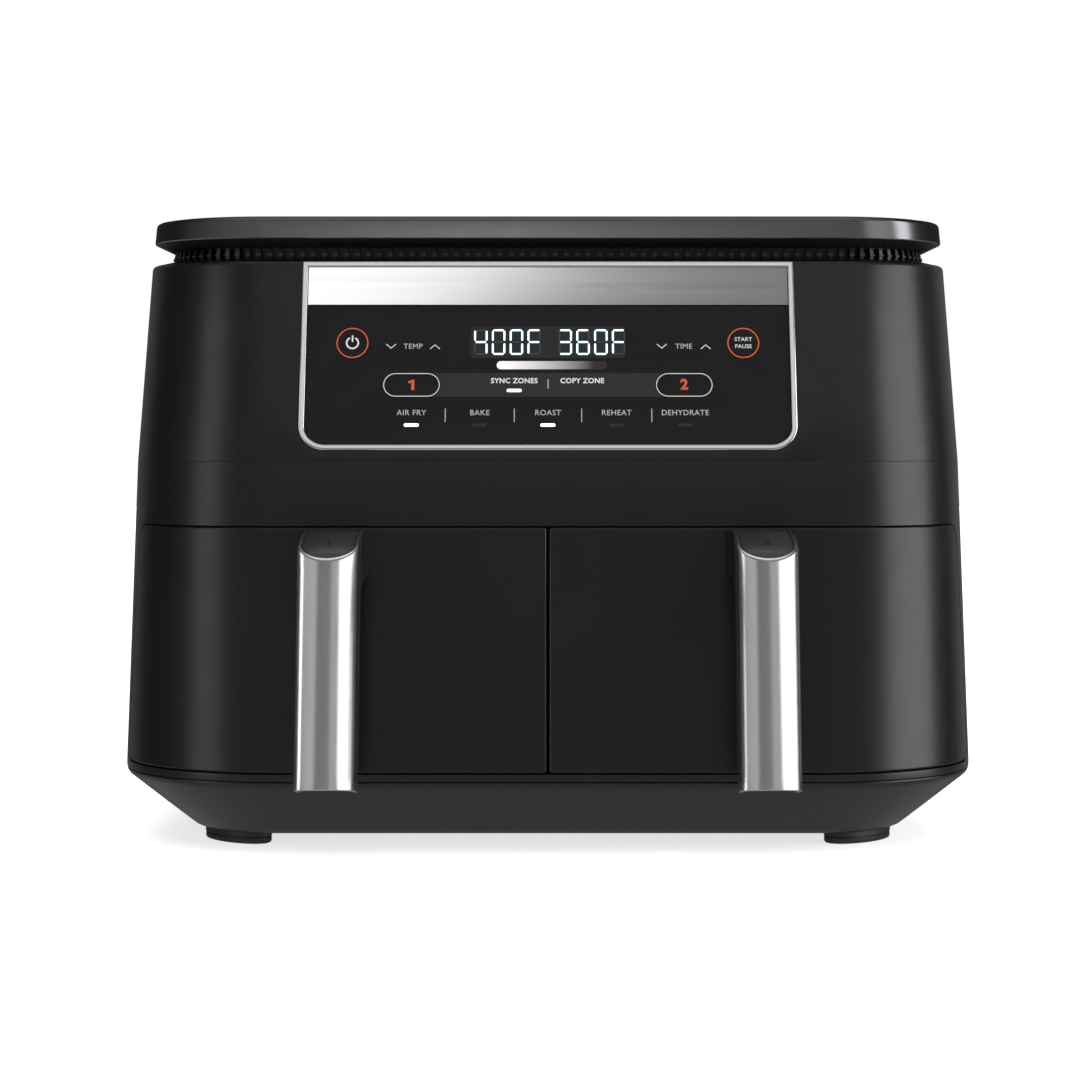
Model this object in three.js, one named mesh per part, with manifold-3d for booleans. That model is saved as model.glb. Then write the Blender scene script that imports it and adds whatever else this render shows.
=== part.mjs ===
// A countertop air fryer with two side-by-side drawers, in millimetres.
// +Z is up, +X is to the right of someone facing the front, and the front faces -Y.
// The origin is on the table, under the centre of the whole object's box.
//
// The outside is one rounded, tapering body, sliced at its seams into a base, a lower
// shell, an upper shell, a louvred neck and a lid. Each drawer is a wrapped front with a
// basket, a handle and a lift-out plate. Above each basket sit a guard, a heating coil and
// a hot air fan, whose shaft also carries a cooling fan below its motor.
import * as THREE from "three";
import { mergeVertices } from "three/addons/utils/BufferGeometryUtils.js";
import Module from "manifold-3d";

const wasm = await Module();
wasm.setup();

// ---------- driving dimensions ----------
const DEG = Math.PI / 180;
const GAP = 0.3; // between pieces that touch
const WALL = 2.6; // shells

// Heights
const Z_FLOOR = 6; // underside of the base
const Z_SKIRT = 35; // top of the base
const Z_LIP = 38.7; // bottom edge of the drawers
const Z_BAY = 154.2; // top edge of the drawers
const Z_SEAM = 184.8; // between the lower and upper shells
const Z_SHOULDER = 282.6; // top outer edge of the upper shell
const Z_LID = 293.9; // lower outer edge of the lid
const Z_TOP = 305;

// Body plan
const HALF_WIDTH = 208; // at the drawers' bottom edge, the widest level
const FRONT = -127.5; // front face at the same level
const BACK = 172.5;
const FRONT_RADIUS = 80; // at the widest level, closing to the top one at the shoulder
const TOP_RADIUS = 62;
const BACK_RADIUS = 45;
const LOWER_TILT = 10 * DEG; // front face leans back, more above the seam
const UPPER_TILT = 17 * DEG;
const ARC = 8; // segments in each corner

// Drawers, for the right-hand one; the left-hand one is its mirror image
const BAY_X = 100; // centre of a drawer's basket, heater and fan
const BAY_Y = 30; // centre of the fan shaft
const FASCIA = 3; // wall of a drawer front
const WRAP_LOW = 58; // how far back a drawer front wraps round the corner at its foot
const WRAP_HIGH = 45; // and at its top
const BAY_CORNER = 9; // rounding of the drawer openings where they end in the sides
const FRONT_BACK_Y = -91; // back of a drawer front's hollow
const BASKET_RIM = 150;
const BASKET_FLOOR = 44;
const SHEET = 1.5; // basket and plate sheet
const LINER = { x0: 8, x1: 192, y0: -62, y1: 142, z0: 40.5, z1: 197, wall: 1.3 };

// Handle, in the frame of the tilted drawer face
const HANDLE_X = 101.3;
const HANDLE_REACH = 46.5; // from the face to the grip's front
const HANDLE_HALF = 14.3;
const HANDLE_LENGTH = 125;
const HANDLE_NOSE = 12.5; // depth of the grip's half-oval front
const HANDLE_LEAN = 0.25; // slope of the top where it leaves the face
const HANDLE_DROP = 20.6; // how much lower the top is at the front than at the face
const COVER_SHEET = 1.4;
const WING_DEPTH = 14; // how far down the cover's wings reach along the neck

// Control panel, in the frame of the tilted upper face, measured up the slope from the seam
const PANEL_HALF = 119.5;
const PANEL_BOTTOM = 5.5;
const PANEL_TOP = 101.6;
const PANEL_CORNER = 12.7;
const BEZEL = 2.7;
const STRIP_BOTTOM = 79;
const KEY_TRAVEL = 0.8;
const ROUND_KEY = { x: 94.4, z: 59.3, half: 0, radius: 7.95 };
const ZONE_KEY = { x: 65.6, z: 38.3, half: 7.65, radius: 6.1 };

// ---------- materials ----------
function material(color, roughness, metalness) {
  return new THREE.MeshStandardMaterial({ color, roughness, metalness });
}
const MATERIALS = {
  satinBlack: material(0x1b1b1c, 0.45, 0),
  glossBlack: material(0x101011, 0.12, 0),
  greyGloss: material(0x2c2c30, 0.18, 0.1),
  brushedSteel: material(0xb9b7b4, 0.28, 1),
  chrome: material(0xd6d6d8, 0.1, 1),
  darkPlastic: material(0x242527, 0.6, 0),
  nonstick: material(0x2a2a2b, 0.5, 0.2),
  liner: material(0x8f9092, 0.4, 1),
  heater: material(0x4a4744, 0.5, 0.8),
  fan: material(0xa5a7a9, 0.35, 1),
  board: material(0x1d5a37, 0.55, 0),
  rubber: material(0x151515, 0.9, 0),
};

// ---------- solids ----------
function solid(geometry) {
  const bare = geometry.index ? geometry.toNonIndexed() : geometry.clone();
  bare.deleteAttribute("normal");
  bare.deleteAttribute("uv");
  const merged = mergeVertices(bare, 1e-4);
  const vertProperties = merged.attributes.position.array;
  const triVerts = new Uint32Array(merged.index.array);
  return new wasm.Manifold(new wasm.Mesh({ numProp: 3, vertProperties, triVerts }));
}

function geometryOf(made) {
  const mesh = made.getMesh();
  const flat = new Float32Array(mesh.triVerts.length * 3);
  mesh.triVerts.forEach((v, i) => {
    flat.set(mesh.vertProperties.subarray(v * mesh.numProp, v * mesh.numProp + 3), i * 3);
  });
  const geometry = new THREE.BufferGeometry();
  geometry.setAttribute("position", new THREE.BufferAttribute(flat, 3));
  geometry.computeVertexNormals();
  return geometry;
}

function box(x0, x1, y0, y1, z0, z1) {
  const geometry = new THREE.BoxGeometry(x1 - x0, y1 - y0, z1 - z0);
  return solid(geometry.translate((x0 + x1) / 2, (y0 + y1) / 2, (z0 + z1) / 2));
}

function cylinder(x, y, radius, z0, z1, segments = 24) {
  const geometry = new THREE.CylinderGeometry(radius, radius, z1 - z0, segments);
  return solid(geometry.rotateX(Math.PI / 2).translate(x, y, (z0 + z1) / 2));
}

function join(pieces) {
  return pieces.reduce((all, piece) => all.add(piece));
}

// A plan outline with its own front and back corner radii.
function outline({ x0, x1, y0, y1, rf, rb }, z) {
  const corners = [
    [x1 - rf, y0 + rf, rf, -90],
    [x1 - rb, y1 - rb, rb, 0],
    [x0 + rb, y1 - rb, rb, 90],
    [x0 + rf, y0 + rf, rf, 180],
  ];
  const points = [];
  for (const [x, y, radius, start] of corners)
    for (let i = 0; i <= ARC; i++) {
      const angle = (start + (90 * i) / ARC) * DEG;
      points.push([x + radius * Math.cos(angle), y + radius * Math.sin(angle), z]);
    }
  return points;
}

// A closed solid through plan outlines, listed from the bottom up.
function loft(rings) {
  const count = rings[0].length;
  const faces = [];
  for (let level = 0; level + 1 < rings.length; level++)
    for (let i = 0; i < count; i++) {
      const next = (i + 1) % count;
      const [low, high] = [rings[level], rings[level + 1]];
      faces.push(low[i], low[next], high[next], low[i], high[next], high[i]);
    }
  const [bottom, top] = [rings[0], rings[rings.length - 1]];
  for (let i = 1; i + 1 < count; i++)
    faces.push(bottom[0], bottom[i + 1], bottom[i], top[0], top[i], top[i + 1]);
  const geometry = new THREE.BufferGeometry();
  geometry.setAttribute("position", new THREE.Float32BufferAttribute(faces.flat(), 3));
  return solid(geometry);
}

// A prism along X whose outline is given as [y, z] points.
function prismX(points, x0, x1) {
  const shape = new THREE.Shape(points.map(([y, z]) => new THREE.Vector2(y, z)));
  const geometry = new THREE.ExtrudeGeometry(shape, { depth: x1 - x0, bevelEnabled: false });
  geometry.applyMatrix4(new THREE.Matrix4().set(0, 0, 1, x0, 1, 0, 0, 0, 0, 1, 0, 0, 0, 0, 0, 1));
  return solid(geometry);
}

// A plate of an [x, z] shape between two depths along Y.
function plateY(shape, y0, y1, curveSegments = 8) {
  const depth = y1 - y0;
  const geometry = new THREE.ExtrudeGeometry(shape, { depth, bevelEnabled: false, curveSegments });
  return solid(geometry.rotateX(Math.PI / 2).translate(0, y1, 0));
}

// A shape with square upper corners and round lower ones.
function panelShape(half, bottom, top, radius) {
  const shape = new THREE.Shape();
  shape.moveTo(half, top);
  shape.lineTo(-half, top);
  shape.lineTo(-half, bottom + radius);
  shape.absarc(-half + radius, bottom + radius, radius, Math.PI, 1.5 * Math.PI, false);
  shape.lineTo(half - radius, bottom);
  shape.absarc(half - radius, bottom + radius, radius, 1.5 * Math.PI, 2 * Math.PI, false);
  return shape;
}

// A round or slot-shaped outline, centred on a key.
function keyShape({ x, z, half, radius }, grow = 0) {
  const shape = new THREE.Shape();
  shape.absarc(x + half, z, radius + grow, -Math.PI / 2, Math.PI / 2, false);
  shape.absarc(x - half, z, radius + grow, Math.PI / 2, 1.5 * Math.PI, false);
  return shape;
}

// ---------- the body's form ----------
function between(z, z0, z1, a, b) {
  return a + ((b - a) * (z - z0)) / (z1 - z0);
}

function frontAt(z) {
  const seam = FRONT + (Z_SEAM - Z_LIP) * Math.tan(LOWER_TILT);
  if (z <= Z_LIP) return FRONT;
  if (z <= Z_SEAM) return FRONT + (z - Z_LIP) * Math.tan(LOWER_TILT);
  return seam + (z - Z_SEAM) * Math.tan(UPPER_TILT);
}

function section(z, inset = 0) {
  const level = Math.max(z, Z_LIP);
  const upper = level > Z_SEAM;
  const half = upper
    ? between(level, Z_SEAM, Z_SHOULDER, 205, 200.9)
    : between(level, Z_LIP, Z_SEAM, HALF_WIDTH, 205);
  const back = upper
    ? between(level, Z_SEAM, Z_SHOULDER, 171, 168)
    : between(level, Z_LIP, Z_SEAM, BACK, 171);
  return {
    x0: inset - half,
    x1: half - inset,
    y0: frontAt(z) + inset,
    y1: back - inset,
    rf: between(level, Z_LIP, Z_SHOULDER, FRONT_RADIUS, TOP_RADIUS) - inset,
    rb: BACK_RADIUS - inset,
  };
}

// The body between two heights, drawn in by an inset.
function body(z0, z1, inset = 0) {
  const levels = [z0, Z_LIP, Z_SEAM, z1].filter((z, i) => (i === 0 || i === 3 ? true : z > z0 && z < z1));
  return loft(levels.map((z) => outline(section(z, inset), z)));
}

// Stacked outlines of the body at one height, each [z, inset].
function stack(level, steps) {
  return loft(steps.map(([z, inset]) => outline(section(level, inset), z)));
}

// ---------- the assembly ----------
const fryer = new THREE.Group();

function place(name, made, look, parent = fryer) {
  const geometry = made instanceof THREE.BufferGeometry ? made : geometryOf(made);
  const mesh = new THREE.Mesh(geometry, MATERIALS[look]);
  mesh.name = name;
  parent.add(mesh);
  return mesh;
}

// The right-hand copy as made, and its mirror image on the left.
function placePair(name, made, look, parents = [fryer, fryer]) {
  place(`${name}_right`, made, look, parents[0]);
  place(`${name}_left`, made, look, parents[1]).scale.x = -1;
}

function tiltedGroup(z, tilt) {
  const group = new THREE.Group();
  group.position.set(0, frontAt(z), z);
  group.rotation.x = -tilt;
  fryer.add(group);
  return group;
}

// ---------- housing ----------
function basePan() {
  const tray = stack(Z_LIP, [[Z_FLOOR, 35], [6.6, 33], [33.6, 0.3], [Z_SKIRT, 0]]);
  const hollow = stack(Z_LIP, [[8, 36.5], [34.4, WALL + 0.4], [Z_SKIRT + 1, WALL + 0.4]]);
  const ribs = [-160, -40, 40, 160].map((x) => box(x - 1.5, x + 1.5, -66, 116, 7, LINER.z0 - GAP));
  return join([tray.subtract(hollow), ...ribs]);
}

const FOOT = { x: 151, front: -69.5, back: 112, half: 20, waist: 11, height: 8.4 };

function foot(grow = 0) {
  const pad = new THREE.CylinderGeometry(1, 1, FOOT.height + grow, 16).rotateX(Math.PI / 2);
  return pad.scale(FOOT.half + grow, FOOT.waist + grow, 1).translate(0, 0, (FOOT.height + grow) / 2);
}

// Where the four feet stand, each turned to face its corner.
function footSpots() {
  const spots = [];
  for (const [row, y] of [["front", FOOT.front], ["back", FOOT.back]])
    for (const [side, x] of [["left", -FOOT.x], ["right", FOOT.x]]) {
      const turn = Math.sign(x) * (row === "front" ? 45 : -45) * DEG;
      const matrix = new THREE.Matrix4().makeRotationZ(turn).setPosition(x, y, 0);
      spots.push({ name: `foot_${row}_${side}`, matrix });
    }
  return spots;
}

function feet() {
  const pockets = footSpots().map(({ name, matrix }) => {
    place(name, foot().applyMatrix4(matrix), "rubber");
    return solid(foot(GAP).applyMatrix4(matrix));
  });
  return join(pockets);
}

function footBosses() {
  const above = box(-250, 250, -250, 250, Z_FLOOR + 0.5, 60);
  const bosses = footSpots().map(({ matrix }) => solid(foot(2).applyMatrix4(matrix)));
  return join(bosses).intersect(above);
}

// Where the seam behind a drawer front crosses the side, at a given height.
function seamAt(z) {
  const wrap = WRAP_LOW + ((WRAP_HIGH - WRAP_LOW) * (z - Z_LIP)) / (Z_BAY - Z_LIP);
  return frontAt(z) + wrap;
}

// Everything in front of the drawers' side seams, drawn in by a slack all round.
function bayPrism(slack) {
  const [z0, z1, corner] = [Z_LIP + slack, Z_BAY - slack, BAY_CORNER - slack];
  const rear = [];
  for (const [z, start] of [[z0 + corner, -90], [z1 - corner, 0]])
    for (let step = 0; step <= 4; step++) {
      const angle = (start + 22.5 * step) * DEG;
      const height = z + corner * Math.sin(angle);
      rear.push([seamAt(height) - slack - corner * (1 - Math.cos(angle)), height]);
    }
  return prismX([[-260, z0], ...rear, [-260, z1]], -260, 260);
}

const GRILLE = { half: 52, z0: 126, z1: 178 };
const GLAND = { x: -150, z: 62, radius: 7 };

function rearHoles() {
  const windows = [-BAY_X, BAY_X].map((x) =>
    box(x - GRILLE.half, x + GRILLE.half, 160, 190, GRILLE.z0, GRILLE.z1),
  );
  const bore = new THREE.CylinderGeometry(GLAND.radius, GLAND.radius, 40, 20);
  return join([...windows, solid(bore.translate(GLAND.x, 170, GLAND.z))]);
}

function lowerShell() {
  const wrap = body(Z_SKIRT + GAP, Z_SEAM - 0.2).subtract(body(20, 200, WALL));
  return wrap.subtract(bayPrism(0)).subtract(rearHoles());
}

function upperShell() {
  const neck = 16;
  const outside = join([
    body(Z_SEAM + GAP, Z_SHOULDER),
    stack(Z_SHOULDER, [[Z_SHOULDER - 1, 0.2], [Z_SHOULDER, 0], [Z_SHOULDER + 1.6, 9]]),
  ]);
  const inside = body(160, Z_SHOULDER - WALL, WALL);
  const mouth = stack(Z_SHOULDER, [[Z_SHOULDER - 9, neck], [Z_TOP, neck]]);
  return outside.subtract(inside).subtract(mouth);
}

const RING = { z0: Z_SHOULDER + 1.9, z1: 289.6, inset: 10.6, wall: 2.2, slot: 10 };

function ventRing() {
  const { z0, z1, inset, wall } = RING;
  const outer = stack(Z_SHOULDER, [[z0, inset], [z1, inset]]);
  const inner = stack(Z_SHOULDER, [[z0 - 1, inset + wall], [z1 + 1, inset + wall]]);
  const flat = section(Z_SHOULDER, inset);
  const cuts = [];
  for (let x = -126; x <= 126; x += 21)
    cuts.push(box(x - RING.slot / 2, x + RING.slot / 2, -250, 250, z0 + 1.1, z1 - 1.1));
  for (let y = flat.y0 + 74; y <= flat.y1 - 42; y += 21)
    cuts.push(box(-250, 250, y - RING.slot / 2, y + RING.slot / 2, z0 + 1.1, z1 - 1.1));
  return outer.subtract(inner).subtract(join(cuts));
}

function topLid() {
  const outside = stack(Z_SHOULDER, [
    [RING.z1 + GAP, 10.2],
    [Z_LID, 1.2],
    [303.2, 1.9],
    [304.3, 3.4],
    [Z_TOP, 10],
  ]);
  const inside = stack(Z_SHOULDER, [[280, 13.5], [Z_TOP - 3.6, 13.5]]);
  return outside.subtract(inside);
}

function bayFrame() {
  const { x0, x1 } = LINER;
  const plate = box(-x1 - 3, x1 + 3, -86, -83.2, Z_LIP + 1, Z_SEAM - 2);
  const returns = [-1, 1].map((side) => {
    const edges = [side * (x1 + GAP), side * (x1 + 3)].sort((a, b) => a - b);
    return box(...edges, -84, -30, Z_LIP + 1, Z_SEAM - 2);
  });
  const mouths = [-1, 1].map((side) => {
    const edges = [side * (x0 + 3), side * (x1 - 3)].sort((a, b) => a - b);
    return box(...edges, -90, -80, 42, 152.4);
  });
  const plungers = [-1, 1].map((side) => {
    const edges = [side * 3.6, side * 6.4].sort((a, b) => a - b);
    return box(...edges, -90, -80, 98.8, 103.2);
  });
  return join([plate, ...returns])
    .intersect(body(Z_LIP, Z_SEAM - 1, 3.7))
    .subtract(join([...mouths, ...plungers]));
}

function chassisDeck(coilHoles) {
  const sheet = body(198, 200.4, 3);
  const panelRoom = box(-126, 126, -140, frontAt(200) + 16, 190, 210);
  const bores = [-BAY_X, BAY_X].map((x) => cylinder(x, BAY_Y, 9, 190, 210));
  return sheet.subtract(join([panelRoom, ...bores, coilHoles, mirrored(coilHoles)]));
}

function mirrored(made) {
  return made.mirror([1, 0, 0]);
}

function exhaustGrille() {
  const { half, z0, z1 } = GRILLE;
  const x0 = BAY_X - half + GAP;
  const x1 = BAY_X + half - GAP;
  const plate = box(x0, x1, 167.6, 172, z0 + GAP, z1 - GAP);
  const slots = [];
  for (let z = z0 + 8; z < z1 - 5; z += 6) slots.push(box(x0 + 5, x1 - 5, 160, 180, z - 1.6, z + 1.6));
  return plate.subtract(join(slots));
}

function exhaustDuct() {
  const [x0, x1, z0, z1] = [BAY_X - 51, BAY_X + 51, 127, 190];
  const outer = box(x0, x1, LINER.y1 + GAP, 167.2, z0, z1);
  return outer.subtract(box(x0 + SHEET, x1 - SHEET, 130, 180, z0 + SHEET, z1 - SHEET));
}

function cordGland() {
  const profile = [[4, -7], [6.4, -7], [6.4, 1.6], [9.5, 1.6], [9.5, 2.8], [6.6, 3.7], [4, 3.7], [4, -7]];
  const ring = new THREE.LatheGeometry(profile.map(([x, y]) => new THREE.Vector2(x, y)), 20);
  return ring.translate(GLAND.x, section(GLAND.z).y1 - 1, GLAND.z);
}

// ---------- control panel ----------
function bezelOutline(grow) {
  return panelShape(PANEL_HALF + grow, PANEL_BOTTOM - grow, PANEL_TOP + grow, PANEL_CORNER + grow);
}

function controlPanel() {
  const group = tiltedGroup(Z_SEAM, UPPER_TILT);
  const frame = plateY(bezelOutline(0), -0.8, 3).subtract(plateY(bezelOutline(-BEZEL), -5, 9));
  place("panel_bezel", frame, "chrome", group);

  const half = PANEL_HALF - BEZEL - GAP;
  const strip = box(-half, half, 0.2, 1.6, STRIP_BOTTOM, PANEL_TOP - BEZEL - GAP);
  place("steel_strip", strip, "brushedSteel", group);

  const mirror = (key) => ({ ...key, x: -key.x });
  const keys = {
    power_key: mirror(ROUND_KEY),
    start_key: ROUND_KEY,
    zone_1_key: mirror(ZONE_KEY),
    zone_2_key: ZONE_KEY,
  };
  const holes = (grow, y0, y1) => join(Object.values(keys).map((k) => plateY(keyShape(k, grow), y0, y1)));
  const window = (grow, y0, y1) => box(-37.3 - grow, 37.3 + grow, y0, y1, 52 - grow, 68.4 + grow);

  const bottom = PANEL_BOTTOM + BEZEL + GAP;
  const lens = plateY(panelShape(half, bottom, STRIP_BOTTOM - GAP, PANEL_CORNER - BEZEL), 0.3, 2.3);
  place("panel_lens", lens.subtract(join([holes(GAP, -5, 9), window(GAP, -5, 9)])), "glossBlack", group);
  place("display_window", window(0, 0.4, 3), "glossBlack", group);

  const carrier = box(-123, 123, 3.7, 5.7, 3, 96.6);
  const relief = join([holes(1.8, 0, 9), window(-2, 0, 9)]);
  place("panel_carrier", carrier.subtract(relief), "darkPlastic", group);

  for (const [name, key] of Object.entries(keys)) {
    const cap = plateY(keyShape(key), -0.3, 2.7);
    const flange = plateY(keyShape(key, 1.2), 2.6, 3.5);
    const stem = plateY(keyShape({ ...key, half: 0, radius: 3 }), 3.4, 8, 6);
    place(name, join([cap, flange, stem]), "glossBlack", group);
  }

  const board = box(-106, 106, 8 + KEY_TRAVEL + GAP, 10.7, 12, 78);
  const display = box(-36, 36, 5.9, 9.5, 50, 70);
  place("display_board", join([board, display]), "board", group);
  group.updateMatrixWorld(true);
  const pocket = plateY(bezelOutline(GAP), -8, 3.6);
  return pocket.transform(group.matrixWorld.elements);
}

// ---------- drawers ----------
function drawerFront() {
  const right = box(0.5, 260, -260, 260, 0, 300);
  const chunk = body(Z_LIP + 0.4, Z_BAY - 0.4).intersect(bayPrism(0.4)).intersect(right);
  const behind = body(20, 200, FASCIA).intersect(box(-10, 260, FRONT_BACK_Y, 260, 0, 300));
  return chunk.subtract(behind).subtract(hollowOf(FASCIA, Z_LIP + 3.4, Z_BAY - 3.4));
}

function hollowOf(inset, z0, z1) {
  return body(20, 200, inset).intersect(box(0.5 + inset, 260, -260, FRONT_BACK_Y + 5, z0, z1));
}

function drawerBackPlate() {
  const slab = box(0, 260, FRONT_BACK_Y - 2.6, FRONT_BACK_Y - GAP, 0, 300);
  return hollowOf(FASCIA + 0.4, Z_LIP + 3.8, Z_BAY - 3.8).intersect(slab);
}

function basketSection(inset, wide) {
  const half = (wide ? 82 : 77) - inset;
  return {
    x0: BAY_X - half,
    x1: BAY_X + half,
    y0: (wide ? FRONT_BACK_Y + 0.1 : -86) + inset,
    y1: (wide ? 131 : 126) - inset,
    rf: 26 - inset,
    rb: 26 - inset,
  };
}

function basket() {
  const shell = loft([outline(basketSection(0, false), BASKET_FLOOR), outline(basketSection(0, true), BASKET_RIM)]);
  const flange = { ...basketSection(0, true), x0: BAY_X - 87, x1: BAY_X + 87, y1: 136 };
  const rim = loft([outline(flange, BASKET_RIM - 1.8), outline(flange, BASKET_RIM)]);
  const inside = loft([
    outline(basketSection(SHEET, false), BASKET_FLOOR + SHEET),
    outline(basketSection(SHEET, true), BASKET_RIM + SHEET),
  ]);
  return join([shell, rim]).subtract(inside);
}

function crisperPlate() {
  const edge = { x0: BAY_X - 74.4, x1: BAY_X + 74.4, y0: -83, y1: 123, rf: 24, rb: 24 };
  const shrunk = { x0: edge.x0 + 2, x1: edge.x1 - 2, y0: edge.y0 + 2, y1: edge.y1 - 2, rf: 22, rb: 22 };
  const [low, high] = [BASKET_FLOOR + SHEET + GAP, 56];
  const cup = loft([outline(edge, low), outline(edge, high)]);
  const under = loft([outline(shrunk, low - 2), outline(shrunk, high - SHEET)]);
  const slots = [];
  for (let row = 0; row < 5; row++)
    for (let column = 0; column < 5; column++) {
      const x = BAY_X + (column - 2) * 27;
      const y = 20 + (row - 2) * 36;
      if (row !== 2 || column !== 2) slots.push(box(x - 8, x + 8, y - 3, y + 3, low, high + 2));
    }
  const grip = box(BAY_X - 11, BAY_X + 11, 12, 28, low, high + 2);
  return cup.subtract(under).subtract(join([...slots, grip]));
}

// Grip outline in plan: straight sides and a half-ellipse front, open to the back.
function gripShape(inset, backY) {
  const half = HANDLE_HALF - inset;
  const shoulder = HANDLE_NOSE - HANDLE_REACH;
  const shape = new THREE.Shape();
  shape.moveTo(half, backY);
  shape.lineTo(-half, backY);
  shape.lineTo(-half, shoulder);
  shape.absellipse(0, shoulder, half, HANDLE_NOSE - inset, Math.PI, 2 * Math.PI, false);
  return shape;
}

function gripBar(inset, backY, z0, z1) {
  const depth = z1 - z0;
  const options = { depth, bevelEnabled: false, curveSegments: 12 };
  return solid(new THREE.ExtrudeGeometry(gripShape(inset, backY), options).translate(0, 0, z0));
}

// Height of the handle's top at a distance from the face: it curls down towards the nose.
function topAt(reach) {
  const curl = (HANDLE_DROP - HANDLE_LEAN * HANDLE_REACH) / HANDLE_REACH ** 3;
  return -(HANDLE_LEAN * reach + curl * reach ** 3);
}

// What lies under the handle's top, lowered by a drop.
function underTop(lower) {
  const steps = 6;
  const top = [[10, topAt(0) + 10 * HANDLE_LEAN - lower]];
  for (let i = 0; i <= steps; i++) {
    const reach = (HANDLE_REACH * i) / steps;
    top.push([-reach, topAt(reach) - lower]);
  }
  const far = HANDLE_REACH + 2;
  return prismX([...top, [-far, topAt(far) - lower], [-far, -200], [10, -200]], -40, 40);
}

// The cover has wings along its top, which run back to the drawer inside the neck.
function handleCover(grow) {
  const [outside, inside, back] = [-grow, COVER_SHEET + grow, 1 - grow];
  const bottom = -HANDLE_LENGTH;
  const wings = gripBar(outside, -back, -WING_DEPTH - grow, 5);
  return gripBar(outside, -22, bottom, 5).add(wings).subtract(gripBar(inside, 5, bottom - 5, 10));
}

function handleNeck() {
  const side = [[-GAP, 5], [-GAP, -20], [-10, -25], [-18, -36], [-22.4, -50], [-24, -50], [-24, 5]];
  const [wide, narrow] = [HANDLE_HALF + 3, HANDLE_HALF - 1.7];
  const plan = new THREE.Shape([
    new THREE.Vector2(wide, 0),
    new THREE.Vector2(-wide, 0),
    new THREE.Vector2(-narrow, -21),
    new THREE.Vector2(-narrow, -24),
    new THREE.Vector2(narrow, -24),
    new THREE.Vector2(narrow, -21),
  ]);
  const flare = new THREE.ExtrudeGeometry(plan, { depth: 60, bevelEnabled: false });
  return prismX(side, -40, 40).intersect(solid(flare.translate(0, 0, -52)));
}

function handle() {
  const lining = COVER_SHEET + GAP;
  const cover = handleCover(0).intersect(underTop(0));
  const neck = handleNeck();
  const grip = gripBar(lining, -22.4, 1 - HANDLE_LENGTH, 5);
  const cheeks = neck.subtract(gripBar(-GAP, 5, -200, 10)).intersect(underTop(0.5));
  const core = join([grip, neck])
    .intersect(underTop(2.2))
    .subtract(handleCover(GAP))
    .add(cheeks);
  const half = HANDLE_HALF - lining;
  const capNeck = prismX([[-0.6, 5], [-0.6, -40], [-24, -40], [-24, 5]], -half, half);
  const cap = join([gripBar(lining, -22.4, -40, 5), capNeck])
    .intersect(underTop(0.5))
    .subtract(underTop(2.2 - GAP));
  return { cover, core, cap };
}

function drawers() {
  placePair("drawer_front", drawerFront(), "satinBlack");
  placePair("drawer_back_plate", drawerBackPlate(), "darkPlastic");
  placePair("basket", basket(), "nonstick");
  placePair("crisper_plate", crisperPlate(), "nonstick");
  const top = Z_BAY - 1.6;
  const groups = [1, -1].map((side) => {
    const group = tiltedGroup(top, LOWER_TILT);
    group.position.x = side * HANDLE_X;
    return group;
  });
  const { cover, core, cap } = handle();
  placePair("handle_cover", cover, "brushedSteel", groups);
  placePair("handle_core", core, "darkPlastic", groups);
  placePair("handle_cap", cap, "greyGloss", groups);
}

// ---------- heating and air ----------
function chamberLiner(coilHoles) {
  const { x0, x1, y0, y1, z0, z1, wall } = LINER;
  const shell = box(x0, x1, y0, y1, z0, z1);
  const inside = box(x0 + wall, x1 - wall, y0 + wall, y1 - wall, z0 + wall, z1 - wall);
  const mouth = box(x0 + wall, x1 - wall, y0 - 5, y0 + 5, z0 + wall, 152.4);
  const exhaust = box(BAY_X - 45, BAY_X + 45, y1 - 5, y1 + 5, 156, 186);
  const rail = { z0: BASKET_RIM - 5.4, z1: BASKET_RIM - 1.8 - GAP };
  const rails = [
    box(x0 + 0.5, x0 + 8, y0 + 4, y1 - 8, rail.z0, rail.z1),
    box(x1 - 8, x1 - 0.5, y0 + 4, y1 - 8, rail.z0, rail.z1),
  ];
  const bore = cylinder(BAY_X, BAY_Y, 9, z1 - 5, z1 + 5);
  return shell.subtract(join([inside, mouth, exhaust])).add(join(rails)).subtract(join([bore, coilHoles]));
}

const COIL = { tube: 3.2, outer: 76, inner: 60, z0: 167, z1: 175, top: 205, turns: 700 * DEG };

// Two turns that close in as they rise, with both ends turned up through the liner.
class CoilCurve extends THREE.Curve {
  getPoint(t, target = new THREE.Vector3()) {
    const share = THREE.MathUtils.clamp((t - 0.08) / 0.84, 0, 1);
    const angle = 10 * DEG + share * COIL.turns;
    const radius = COIL.outer + share * (COIL.inner - COIL.outer);
    const end = Math.max(0.08 - t, t - 0.92, 0) / 0.08;
    const low = COIL.z0 + share * (COIL.z1 - COIL.z0);
    const z = low + end * (COIL.top - low);
    return target.set(BAY_X + radius * Math.cos(angle), BAY_Y + radius * Math.sin(angle), z);
  }
}

function heaterCoil() {
  const circle = new THREE.Shape();
  circle.absarc(0, 0, COIL.tube, 0, 2 * Math.PI, false);
  const path = new CoilCurve();
  path.arcLengthDivisions = 400;
  return new THREE.ExtrudeGeometry(circle, { extrudePath: path, steps: 60, curveSegments: 3 });
}

function coilHolesThroughLiner() {
  const path = new CoilCurve();
  const ends = [path.getPoint(0), path.getPoint(1)];
  return join(ends.map(({ x, y }) => cylinder(x, y, COIL.tube + 1.4, 190, 210, 12)));
}

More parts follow.
